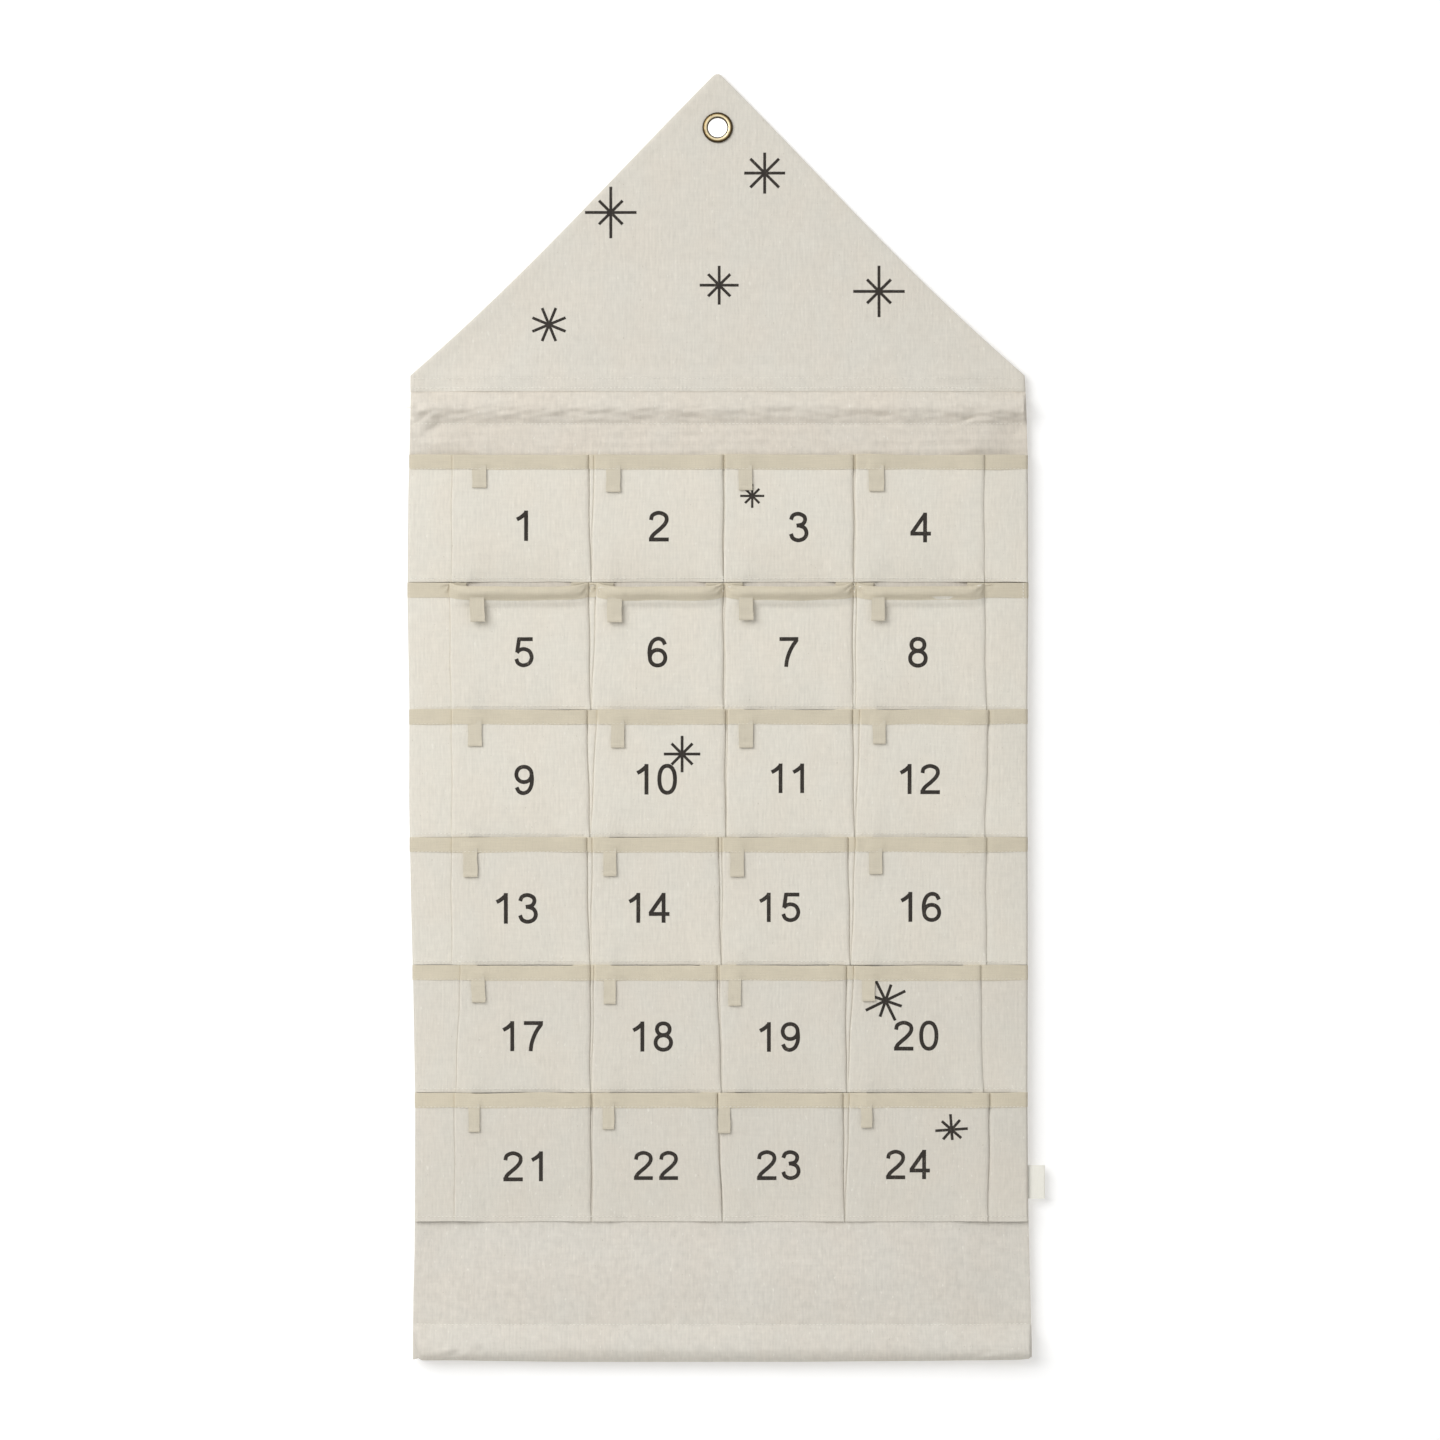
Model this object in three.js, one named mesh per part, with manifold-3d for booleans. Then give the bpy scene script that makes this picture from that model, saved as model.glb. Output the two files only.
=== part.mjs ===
// Hanging cloth advent calendar in the shape of a gabled house, with four by six pleated pockets.
// Millimetres, +Z up, the front faces -Y. The origin is the centre of the hanging eyelet's bore,
// on the rear face of the back lining, which lies in the plane y = 0.
import * as THREE from "three";
import { mergeVertices } from "three/addons/utils/BufferGeometryUtils.js";
import Module from "manifold-3d";

const wasm = await Module();
wasm.setup();

const lerp = THREE.MathUtils.lerp;
const degrees = THREE.MathUtils.degToRad;

// Outline of the house
const bodyWidth = 454;
const apexAboveEyelet = 39.4;
const eavesBelowEyelet = 183.7;
const bodyHeight = 727.9;
const tipRadius = 4.4;
const tipAngle = degrees(45);
const rafterDip = 5;
const rafterDipPowerShare = 1.5;
const rafterSteps = 8;
const tipSteps = 3;

// Cloth, tape and the gaps between sewn layers
const clothThickness = 0.7;
const pocketCloth = 0.6;
const bindingTape = 0.4;
const layerGap = 0.3;
const bindingGap = 0.25;
const pleatGap = 0.4;

// Roof facing, lapped over the top edge of the front panel
const gableLap = 11.1;
const panelTuck = 1.5;
const gableStepShare = 0.97;

// Dowels and the sleeves sewn round them
const dowelDiameter = 8.5;
const dowelChamfer = 0.8;
const dowelLeftPlay = 14.5;
const dowelRightPlay = 8.5;
const sleeveClearance = 0.4;
const sleeveEnd = 7.5;
const topDowelBelowEaves = 24.8;
const topSleeveHalf = 11;
const hemStitchHeight = 25.6;
const sleeveArcSteps = 5;
const hemArcSteps = 9;
const hemWrapAngle = degrees(230);
const dowelSides = 20;

// Hanging eyelet
const eyeletBore = 14.2;
const eyeletFlange = 22.6;
const eyeletFlangeHeight = 2.1;
const eyeletWall = 0.6;
const eyeletLip = 18.8;
const eyeletLipHeight = 0.8;
const eyeletRimHeight = 0.6;
const flangeCrownShares = [
  [0, 0.5],
  [0.12, 0.83],
  [0.33, 1],
  [0.5, 1],
  [0.75, 0.83],
  [0.94, 0.5],
];
const washerDiameter = 22;
const washerThickness = 0.4;
const roundSides = 30;

// Pocket rows
const rowCount = 6;
const mouthBelowEaves = 58.9;
const lastSeamAboveHem = 103.7;
const rowParting = 1.2;
const leftMargin = 31;
const rightMargin = 29.3;
const columnShares = [0.26, 0.248, 0.244, 0.248];
const pleatDepth = 12;
const pleatParting = 4.8;
const mouthBulge = 2.2;
const bulgePowerShare = 0.4;
const lowRowShare = 0.4;
const cornerRun = 8;
const cornerBulgeShare = 0.85;
const flatRun = 24;
const seamCornerRun = 1.5;
const seamFlatRun = 9;

// Binding over each pocket mouth
const bindingHeight = 11;

// Hanging loops of folded tape, one under each pocket's binding
const loopWidth = 10.6;
const loopTape = 0.7;
const loopDrop = 16.3;
const loopFromFold = 14.2;
const loopFoldRun = 2.2;
const loopFoldCrestShare = 0.33;
const loopFoldBulgeShare = 1.25;
const loopNotch = 0.8;
const loopNotchOpening = 0.2;
const loopShiftShares = [
  [0.32, 0.16, -0.06, -0.03],
  [0.27, 0.2, 0, 0.06],
  [0.03, 0.53, -0.1, 0.03],
  [-0.28, 0, -0.31, 0.34],
  [-0.22, -0.17, -0.43, -0.03],
  [-0.22, -0.29, -1, 0.08],
];
const loopDropShares = [
  [0.77, 0.95, 0.88, 0.92],
  [1.04, 1.06, 0.97, 1],
  [0.93, 0.99, 0.99, 0.83],
  [1.07, 1.03, 1.06, 0.95],
  [0.99, 1.06, 1.14, 0.94],
  [1.12, 1, 1.17, 0.94],
];

// Folded label in the right side seam
const labelReach = 12.6;
const labelHeight = 24.8;
const labelThickness = 1;
const labelAboveHem = 118.5;

// Places worked out from the sizes above
const halfWidth = bodyWidth / 2;
const apexZ = apexAboveEyelet;
const eavesZ = -eavesBelowEyelet;
const hemZ = eavesZ - bodyHeight;
const dowelRadius = dowelDiameter / 2;
const dowelLength = bodyWidth - 2 * sleeveEnd - dowelLeftPlay - dowelRightPlay;
const dowelShift = (dowelLeftPlay - dowelRightPlay) / 2;
const dowelY = -(clothThickness + layerGap + dowelRadius);
const sleeveRadius = dowelRadius + sleeveClearance;
const topDowelZ = eavesZ - topDowelBelowEaves;
const bottomDowelZ = hemZ + sleeveRadius + clothThickness;
const hemStitchZ = hemZ + hemStitchHeight;
const panelRearY = -(clothThickness + layerGap);
const panelFrontY = panelRearY - clothThickness;
const gableLapY = panelFrontY - layerGap;
const rowsHeight = bodyHeight - mouthBelowEaves - lastSeamAboveHem;
const rowHeight = (rowsHeight - (rowCount - 1) * rowParting) / rowCount;
const rowPitch = rowHeight + rowParting;
const pocketSpan = bodyWidth - leftMargin - rightMargin;
const bindingShare = 1 - bindingHeight / rowHeight;
const bindingOuter = pocketCloth / 2 + bindingGap + bindingTape;
const bindingInner = pocketCloth / 2 + bindingGap;
const stripHeight = rowHeight - bindingGap - bindingTape;
const firstFoldX = -halfWidth + leftMargin;

const linen = new THREE.MeshStandardMaterial({ color: 0xdfdacd, roughness: 0.95, metalness: 0 });
const roofLinen = new THREE.MeshStandardMaterial({ color: 0xdad6cb, roughness: 0.95, metalness: 0 });
const liningLinen = new THREE.MeshStandardMaterial({ color: 0xd6d1c3, roughness: 0.96, metalness: 0 });
const cottonTape = new THREE.MeshStandardMaterial({ color: 0xd4cbb5, roughness: 0.9, metalness: 0 });
const antiqueBrass = new THREE.MeshStandardMaterial({ color: 0xa88d54, roughness: 0.35, metalness: 1 });
const bareWood = new THREE.MeshStandardMaterial({ color: 0xcfae80, roughness: 0.7, metalness: 0 });
const labelTape = new THREE.MeshStandardMaterial({ color: 0xecead9, roughness: 0.85, metalness: 0 });

const calendar = new THREE.Group();

function addPiece(name, geometry, material, place = new THREE.Vector3()) {
  const mesh = new THREE.Mesh(geometry, material);
  mesh.name = name;
  mesh.position.copy(place);
  calendar.add(mesh);
  return mesh;
}

function indexedGeometry(points, index) {
  const geometry = new THREE.BufferGeometry();
  const flat = points.flatMap((point) => point.toArray());
  geometry.setAttribute("position", new THREE.Float32BufferAttribute(flat, 3));
  geometry.setIndex(index);
  return geometry;
}

// Closed skin between a rear and a front grid of points, whose rows go up and columns go right
function skinGeometry(rear, front) {
  const rows = rear.length;
  const columns = rear[0].length;
  const index = [];
  const rearAt = (row, column) => row * columns + column;
  const frontAt = (row, column) => (rows + row) * columns + column;
  const quad = (a, b, c, d) => index.push(a, b, c, a, c, d);
  for (let row = 0; row + 1 < rows; row++) {
    for (let column = 0; column + 1 < columns; column++) {
      const right = column + 1;
      const above = row + 1;
      quad(frontAt(row, column), frontAt(row, right), frontAt(above, right), frontAt(above, column));
      quad(rearAt(above, column), rearAt(above, right), rearAt(row, right), rearAt(row, column));
    }
  }
  const lastRow = rows - 1;
  const lastColumn = columns - 1;
  for (let column = 0; column < lastColumn; column++) {
    const right = column + 1;
    quad(frontAt(0, right), frontAt(0, column), rearAt(0, column), rearAt(0, right));
    quad(
      frontAt(lastRow, column),
      frontAt(lastRow, right),
      rearAt(lastRow, right),
      rearAt(lastRow, column),
    );
  }
  for (let row = 0; row < lastRow; row++) {
    const above = row + 1;
    quad(frontAt(row, 0), frontAt(above, 0), rearAt(above, 0), rearAt(row, 0));
    quad(
      frontAt(above, lastColumn),
      frontAt(row, lastColumn),
      rearAt(row, lastColumn),
      rearAt(above, lastColumn),
    );
  }
  return indexedGeometry([...rear.flat(), ...front.flat()], index);
}

// Stack of equal closed rings that turn anticlockwise from above, the lowest ring first, with flat ends
function stackGeometry(rings) {
  const count = rings[0].length;
  const index = [];
  for (let level = 0; level + 1 < rings.length; level++) {
    for (let k = 0; k < count; k++) {
      const a = level * count + k;
      const b = level * count + ((k + 1) % count);
      index.push(a, b, b + count, a, b + count, a + count);
    }
  }
  const outline = rings[0].map((point) => new THREE.Vector2(point.x, point.y));
  const top = (rings.length - 1) * count;
  for (const [a, b, c] of THREE.ShapeUtils.triangulateShape(outline, [])) {
    index.push(c, b, a);
    index.push(top + a, top + b, top + c);
  }
  return indexedGeometry(rings.flat(), index);
}

// The path moved to its right by a distance, with mitred corners
function offsetPath(path, distance) {
  const normals = [];
  for (let k = 0; k + 1 < path.length; k++) {
    const step = path[k + 1].clone().sub(path[k]).normalize();
    normals.push(new THREE.Vector2(step.y, -step.x));
  }
  return path.map((point, k) => {
    const before = normals[Math.max(k - 1, 0)];
    const after = normals[Math.min(k, normals.length - 1)];
    const mitre = before.clone().add(after);
    return point.clone().addScaledVector(mitre, distance / (1 + before.dot(after)));
  });
}

function solidOf(geometry) {
  const plain = geometry.clone();
  plain.deleteAttribute("normal");
  plain.deleteAttribute("uv");
  const merged = mergeVertices(plain);
  const mesh = new wasm.Mesh({
    numProp: 3,
    vertProperties: new Float32Array(merged.attributes.position.array),
    triVerts: new Uint32Array(merged.index.array),
  });
  return new wasm.Manifold(mesh);
}

function cutAway(geometry, tool) {
  const made = solidOf(geometry).subtract(solidOf(tool)).getMesh();
  const result = new THREE.BufferGeometry();
  result.setAttribute("position", new THREE.BufferAttribute(made.vertProperties, made.numProp));
  result.setIndex(new THREE.BufferAttribute(made.triVerts, 1));
  return result;
}

// Half widths and heights up the roof, from the eaves to the rounded tip
function roofRows() {
  const rows = [];
  const tipX = tipRadius * Math.sin(tipAngle);
  const tipZ = apexZ - tipRadius * (1 - Math.cos(tipAngle));
  const shares = [gableStepShare];
  for (let step = rafterSteps - 1; step >= 0; step--) {
    shares.push(step / rafterSteps);
  }
  for (const share of shares) {
    const dip = rafterDip * Math.sin(Math.PI * share ** rafterDipPowerShare);
    rows.push({ half: lerp(tipX, halfWidth, share), z: lerp(tipZ, eavesZ, share) - dip });
  }
  for (let step = tipSteps - 1; step > 0; step--) {
    const angle = (tipAngle * step) / tipSteps;
    rows.push({ half: tipRadius * Math.sin(angle), z: apexZ - tipRadius * (1 - Math.cos(angle)) });
  }
  return rows;
}

// Flat-backed cloth with straight rows, each row with a half width, a height and a rear face
function rowCloth(rows, thickness) {
  const grid = (shift) =>
    rows.map(({ half, z, y }) => {
      const depth = y - shift;
      return [new THREE.Vector3(-half, depth, z), new THREE.Vector3(half, depth, z)];
    });
  return skinGeometry(grid(0), grid(thickness));
}

function eyeletHole() {
  const radius = eyeletBore / 2 + eyeletWall + layerGap;
  const tool = new THREE.CylinderGeometry(radius, radius, bodyWidth, roundSides);
  return tool;
}

function backLining() {
  const rows = [
    { half: halfWidth, z: hemZ + clothThickness + layerGap, y: 0 },
    { half: halfWidth, z: eavesZ, y: 0 },
    ...roofRows().map((row) => ({ ...row, y: 0 })),
  ];
  return cutAway(rowCloth(rows, clothThickness), eyeletHole());
}

function gableFront() {
  const rows = [
    { half: halfWidth, z: eavesZ - gableLap, y: gableLapY },
    { half: halfWidth, z: eavesZ, y: gableLapY },
    ...roofRows().map((row) => ({ ...row, y: panelRearY })),
  ];
  return cutAway(rowCloth(rows, clothThickness), eyeletHole());
}

// Angle round a dowel, from straight up towards the front, at which cloth that starts flat on the lining
// touches the dowel's sleeve
function touchAngle(rise) {
  const run = panelRearY - dowelY;
  return Math.acos(sleeveRadius / Math.hypot(rise, run)) - Math.atan2(run, rise);
}

// Points on a sleeve's inner face as height and depth
function sleeveArc(centreZ, fromAngle, toAngle, steps) {
  const points = [];
  for (let k = 0; k <= steps; k++) {
    const angle = lerp(fromAngle, toAngle, k / steps);
    const z = centreZ + sleeveRadius * Math.cos(angle);
    points.push(new THREE.Vector2(z, dowelY - sleeveRadius * Math.sin(angle)));
  }
  return points;
}

// Front panel from its hem round the lower dowel, up the body and over the upper dowel
function frontPanel() {
  const hemTouch = touchAngle(hemStitchZ - bottomDowelZ);
  const topTouch = touchAngle(topSleeveHalf);
  const hemArc = sleeveArc(bottomDowelZ, hemWrapAngle, hemTouch, hemArcSteps);
  const hemTop = hemArc[hemArcSteps].x;
  const flatHem = hemArc.map((point, k) => {
    const z = lerp(hemZ + layerGap, hemTop, k / hemArcSteps);
    return new THREE.Vector2(z, panelRearY);
  });
  const topArc = sleeveArc(topDowelZ, Math.PI - topTouch, topTouch, sleeveArcSteps);
  const flatTop = topArc.map((point) => new THREE.Vector2(point.x, panelRearY));
  const stations = [hemStitchZ, topDowelZ - topSleeveHalf, topDowelZ + topSleeveHalf, eavesZ - panelTuck];
  const lines = stations.map((z) => new THREE.Vector2(z, panelRearY));
  const [hemLine, sleeveFoot, sleeveHead, upperEdge] = lines;
  const round = [...hemArc, hemLine, sleeveFoot, ...topArc, sleeveHead, upperEdge];
  const flat = [...flatHem, hemLine, sleeveFoot, ...flatTop, sleeveHead, upperEdge];
  const roundEnd = halfWidth - sleeveEnd;
  const columns = [
    { x: -halfWidth, path: flat },
    { x: -roundEnd, path: round },
    { x: roundEnd, path: round },
    { x: halfWidth, path: flat },
  ];
  const grid = (shift) => {
    const moved = columns.map(({ path }) => offsetPath(path, shift));
    return round.map((_, row) =>
      columns.map(({ x }, column) => new THREE.Vector3(x, moved[column][row].y, moved[column][row].x)),
    );
  };
  return skinGeometry(grid(0), grid(clothThickness));
}

function dowel() {
  const half = dowelLength / 2;
  const profile = [
    new THREE.Vector2(0, -half),
    new THREE.Vector2(dowelRadius - dowelChamfer, -half),
    new THREE.Vector2(dowelRadius, -half + dowelChamfer),
    new THREE.Vector2(dowelRadius, half - dowelChamfer),
    new THREE.Vector2(dowelRadius - dowelChamfer, half),
    new THREE.Vector2(0, half),
  ];
  return new THREE.LatheGeometry(profile, dowelSides);
}

// Brass eyelet: domed front flange, barrel through both cloths, lip rolled over the washer behind
function eyelet() {
  const bore = eyeletBore / 2;
  const barrel = bore + eyeletWall;
  const flange = eyeletFlange / 2;
  const seat = panelFrontY - layerGap;
  const lip = eyeletLip / 2;
  const lipSeat = layerGap + washerThickness + layerGap;
  const lipTop = lipSeat + eyeletLipHeight;
  const profile = [
    new THREE.Vector2(bore, lipTop - eyeletLipHeight / 2),
    ...flangeCrownShares.map(
      ([outShare, heightShare]) =>
        new THREE.Vector2(lerp(bore, flange, outShare), seat - heightShare * eyeletFlangeHeight),
    ),
    new THREE.Vector2(flange, seat - eyeletRimHeight / 2),
    new THREE.Vector2(flange - eyeletRimHeight / 2, seat),
    new THREE.Vector2(barrel, seat),
    new THREE.Vector2(barrel, lipSeat),
    new THREE.Vector2(lip - eyeletLipHeight / 2, lipSeat),
    new THREE.Vector2(lip, lipSeat + eyeletLipHeight / 2),
    new THREE.Vector2(lip - eyeletLipHeight / 2, lipTop),
    new THREE.Vector2(barrel, lipTop),
    new THREE.Vector2(bore, lipTop - eyeletLipHeight / 2),
  ];
  return new THREE.LatheGeometry(profile, roundSides);
}

function eyeletWasher() {
  const inner = eyeletBore / 2 + eyeletWall + layerGap;
  const outer = washerDiameter / 2;
  const near = layerGap;
  const far = layerGap + washerThickness;
  const profile = [
    new THREE.Vector2(inner, near),
    new THREE.Vector2(outer, near),
    new THREE.Vector2(outer, far),
    new THREE.Vector2(inner, far),
    new THREE.Vector2(inner, near),
  ];
  return new THREE.LatheGeometry(profile, roundSides);
}

// Depths of the three cloth layers of a pleat, from the panel outwards, between seam (0) and binding (1)
function layerDepths(rise) {
  const seamPitch = pocketCloth + layerGap;
  const mouthPitch = 2 * bindingOuter + pleatGap;
  const pitch = lerp(seamPitch, mouthPitch, rise);
  const rear = panelFrontY - layerGap - lerp(pocketCloth / 2, bindingOuter, rise);
  return { rear, middle: rear - pitch, front: rear - 2 * pitch };
}

// How far a pocket's face stands in front of its pleats, from sewn down at the seam to open at the mouth
function faceBulge(rise) {
  const { rear, front } = layerDepths(0);
  return lerp(front - rear, mouthBulge, rise ** bulgePowerShare);
}

// Left and right folds of the four pocket faces
function pocketFolds() {
  const folds = [];
  let boundary = firstFoldX;
  columnShares.forEach((share, column) => {
    const next = boundary + share * pocketSpan;
    const left = boundary + (column > 0 ? pleatParting / 2 : 0);
    const right = next - (column + 1 < columnShares.length ? pleatParting / 2 : 0);
    folds.push({ left, right });
    boundary = next;
  });
  return folds;
}

// Centre line of the pleated strip in plan, from its left edge to its right edge
function stripPath(rise) {
  const { rear, middle, front } = layerDepths(rise);
  const bulge = faceBulge(rise);
  const corner = lerp(pleatDepth + seamCornerRun, cornerRun, rise);
  const flat = lerp(pleatDepth + seamFlatRun, flatRun, rise);
  const cornerY = front - lerp(0, cornerBulgeShare, rise) * bulge;
  const flatY = front - bulge;
  const points = [new THREE.Vector2(-halfWidth, rear)];
  const add = (x, y) => points.push(new THREE.Vector2(x, y));
  for (const { left, right } of pocketFolds()) {
    add(left + pleatDepth, rear);
    add(left + pleatDepth, middle);
    add(left, middle);
    add(left, front);
    add(left + corner, cornerY);
    add(left + flat, flatY);
    add((left + right) / 2, flatY);
    add(right - flat, flatY);
    add(right - corner, cornerY);
    add(right, front);
    add(right, middle);
    add(right - pleatDepth, middle);
    add(right - pleatDepth, rear);
  }
  add(halfWidth, rear);
  return points;
}

const riseAt = (share) => Math.min(share / bindingShare, 1);

// Pleated cloth strip of one pocket row, from its bottom seam up into the binding, with its mouth at z = 0
function pocketStrip() {
  const shares = [0, lowRowShare, bindingShare, stripHeight / rowHeight];
  const grid = (shift) =>
    shares.map((share) => {
      const path = offsetPath(stripPath(riseAt(share)), shift);
      return path.map(({ x, y }) => new THREE.Vector3(x, y, (share - 1) * rowHeight));
    });
  return skinGeometry(grid(-pocketCloth / 2), grid(pocketCloth / 2));
}

// Tape folded over the strip's top edge, following its pleats
function pocketBinding() {
  const path = stripPath(1);
  const ring = [
    { shift: bindingOuter, z: -bindingHeight },
    { shift: bindingOuter, z: 0 },
    { shift: -bindingOuter, z: 0 },
    { shift: -bindingOuter, z: -bindingHeight },
    { shift: -bindingInner, z: -bindingHeight },
    { shift: -bindingInner, z: -bindingTape },
    { shift: bindingInner, z: -bindingTape },
    { shift: bindingInner, z: -bindingHeight },
  ];
  const lines = ring.map(({ shift, z }) =>
    offsetPath(path, shift).map(({ x, y }) => new THREE.Vector3(x, y, z)),
  );
  const length = path.length;
  const at = (line, station) => (line % ring.length) * length + station;
  const index = [];
  for (let line = 0; line < ring.length; line++) {
    for (let station = 0; station + 1 < length; station++) {
      const a = at(line, station);
      const b = at(line, station + 1);
      const c = at(line + 1, station + 1);
      const d = at(line + 1, station);
      index.push(a, b, c, a, c, d);
    }
  }
  for (const [a, b, c, d] of [[0, 1, 6, 7], [1, 2, 5, 6], [2, 3, 4, 5]]) {
    index.push(at(a, 0), at(b, 0), at(c, 0), at(a, 0), at(c, 0), at(d, 0));
    const end = length - 1;
    index.push(at(a, end), at(c, end), at(b, end), at(a, end), at(d, end), at(c, end));
  }
  return indexedGeometry(lines.flat(), index);
}

// Tape folded double and pressed, hanging from its hinge line at the origin, with its rear towards +Y
function tapeLoop(drop) {
  const half = loopWidth / 2;
  const flat = 2 * loopTape;
  const levels = [
    { z: -drop, thickness: loopTape },
    { z: -drop + loopFoldRun * loopFoldCrestShare, thickness: flat * loopFoldBulgeShare },
    { z: -drop + loopFoldRun, thickness: flat },
    { z: 0, thickness: flat },
  ];
  const rings = levels.map(({ z, thickness }) => {
    const front = flat / 2 - thickness / 2;
    const rear = flat / 2 + thickness / 2;
    const near = flat / 2 - loopNotchOpening / 2;
    const far = flat / 2 + loopNotchOpening / 2;
    const outline = [
      [-half, front],
      [half, front],
      [half, near],
      [half - loopNotch, flat / 2],
      [half, far],
      [half, rear],
      [-half, rear],
      [-half, far],
      [-half + loopNotch, flat / 2],
      [-half, near],
    ];
    return outline.map(([x, y]) => new THREE.Vector3(x, y, z));
  });
  return stackGeometry(rings);
}

// Label tape folded double, reaching out of the side seam from the origin, with its middle height at z = 0
function sideLabel() {
  const half = labelThickness / 2;
  const outline = [
    [0, -half],
    [labelReach - half, -half],
    [labelReach, 0],
    [labelReach - half, half],
    [0, half],
  ];
  const rings = [-labelHeight / 2, labelHeight / 2].map((z) =>
    outline.map(([x, y]) => new THREE.Vector3(x, y, z)),
  );
  return stackGeometry(rings);
}

addPiece("back_lining", backLining(), liningLinen);
addPiece("gable_front", gableFront(), roofLinen);
addPiece("front_panel", frontPanel(), linen);
addPiece("eyelet", eyelet(), antiqueBrass);
addPiece("eyelet_washer", eyeletWasher(), antiqueBrass);

for (const [name, z] of [["top_dowel", topDowelZ], ["bottom_dowel", bottomDowelZ]]) {
  const place = new THREE.Vector3(dowelShift, dowelY, z);
  addPiece(name, dowel(), bareWood, place).rotation.z = Math.PI / 2;
}

const mouthFaceY = layerDepths(1).front - mouthBulge;
const loopFrontY = mouthFaceY - pocketCloth / 2 - layerGap - 2 * loopTape;

for (let row = 0; row < rowCount; row++) {
  const mouthZ = eavesZ - mouthBelowEaves - row * rowPitch;
  const place = new THREE.Vector3(0, 0, mouthZ);
  addPiece("pocket_row_" + (row + 1), pocketStrip(), linen, place);
  addPiece("pocket_binding_" + (row + 1), pocketBinding(), cottonTape, place);
  pocketFolds().forEach(({ left }, column) => {
    const number = String(row * columnShares.length + column + 1).padStart(2, "0");
    const centreX = left + loopFromFold + loopShiftShares[row][column] * loopWidth;
    const hinge = new THREE.Vector3(centreX, loopFrontY, mouthZ - bindingHeight - layerGap);
    addPiece("loop_" + number, tapeLoop(loopDrop * loopDropShares[row][column]), cottonTape, hinge);
  });
}

const labelY = -(clothThickness + layerGap / 2);
const labelZ = hemZ + labelAboveHem + labelHeight / 2;
addPiece("side_label", sideLabel(), labelTape, new THREE.Vector3(halfWidth + layerGap, labelY, labelZ));

export default calendar;
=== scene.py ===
import math

import bpy
import numpy as np
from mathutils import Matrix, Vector
from mathutils.bvhtree import BVHTree


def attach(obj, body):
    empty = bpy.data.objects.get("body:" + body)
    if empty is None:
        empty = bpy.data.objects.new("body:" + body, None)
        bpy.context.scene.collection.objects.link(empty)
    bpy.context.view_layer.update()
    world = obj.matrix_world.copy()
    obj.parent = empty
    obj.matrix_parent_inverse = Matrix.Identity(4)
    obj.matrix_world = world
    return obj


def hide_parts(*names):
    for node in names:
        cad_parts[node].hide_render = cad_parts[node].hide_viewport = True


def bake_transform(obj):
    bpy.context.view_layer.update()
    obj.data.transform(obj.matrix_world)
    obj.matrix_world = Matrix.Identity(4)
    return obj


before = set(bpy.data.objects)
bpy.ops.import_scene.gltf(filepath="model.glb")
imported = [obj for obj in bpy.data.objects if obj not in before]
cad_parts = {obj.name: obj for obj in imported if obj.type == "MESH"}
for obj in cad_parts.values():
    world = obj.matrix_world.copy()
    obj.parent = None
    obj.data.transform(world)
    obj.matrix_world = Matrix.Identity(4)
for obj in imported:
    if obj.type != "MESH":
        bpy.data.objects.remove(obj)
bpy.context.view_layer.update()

print("frame loaded with", len(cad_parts), "nodes")

mm = 0.001  # every length below is in millimetres until a mesh is made

# The photograph is square and straight on, and its pixels are counted from the eyelet's centre
photo = {"pixel": 0.74, "eyeletColumn": 717.6, "eyeletLine": 127.2, "side": 1440}


def photoX(column):
    return (column - photo["eyeletColumn"]) * photo["pixel"]


def photoZ(line):
    return (photo["eyeletLine"] - line) * photo["pixel"]


# Camera, straight in front of the middle of the photograph

cameraPlan = {"lens": 150, "sensor": 36, "aimDepth": -5, "near": 0.05, "far": 60}


def addCamera():
    data = bpy.data.cameras.new("photo_camera")
    data.lens = cameraPlan["lens"]
    data.sensor_width = cameraPlan["sensor"]
    data.clip_start = cameraPlan["near"]
    data.clip_end = cameraPlan["far"]
    camera = bpy.data.objects.new("photo_camera", data)
    bpy.context.scene.collection.objects.link(camera)
    middle = photo["side"] / 2
    back = photo["side"] * photo["pixel"] * cameraPlan["lens"] / cameraPlan["sensor"]
    place = (photoX(middle), cameraPlan["aimDepth"] - back, photoZ(middle))
    camera.location = Vector(place) * mm
    camera.rotation_euler = (math.radians(90), 0, 0)
    bpy.context.scene.camera = camera


addCamera()
print("camera placed")


# Small helpers for shapes


def smooth(value, low, high):
    share = np.clip((value - low) / (high - low), 0, 1)
    return share * share * (3 - 2 * share)


def hump(value, centre, width):
    return np.exp(-(((value - centre) / width) ** 2))


def blurred(values, reach):
    kernel = np.exp(-(np.linspace(-2.2, 2.2, 2 * reach + 1) ** 2))
    return np.convolve(np.pad(values, reach, mode="edge"), kernel / kernel.sum(), mode="valid")


def runAlong(first, second):
    # distance covered at each point of a line
    return np.concatenate([[0], np.cumsum(np.hypot(np.diff(first), np.diff(second)))])


def laid(*parts):
    # parts spread over the same rows and columns, joined to one place per point
    return np.stack(np.broadcast_arrays(*parts), axis=2)


def arcPoints(centreX, centreY, radiusX, radiusY, fromAngle, toAngle, steps):
    angles = np.radians(np.linspace(fromAngle, toAngle, steps))
    return [(centreX + radiusX * math.cos(a), centreY + radiusY * math.sin(a)) for a in angles]


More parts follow.
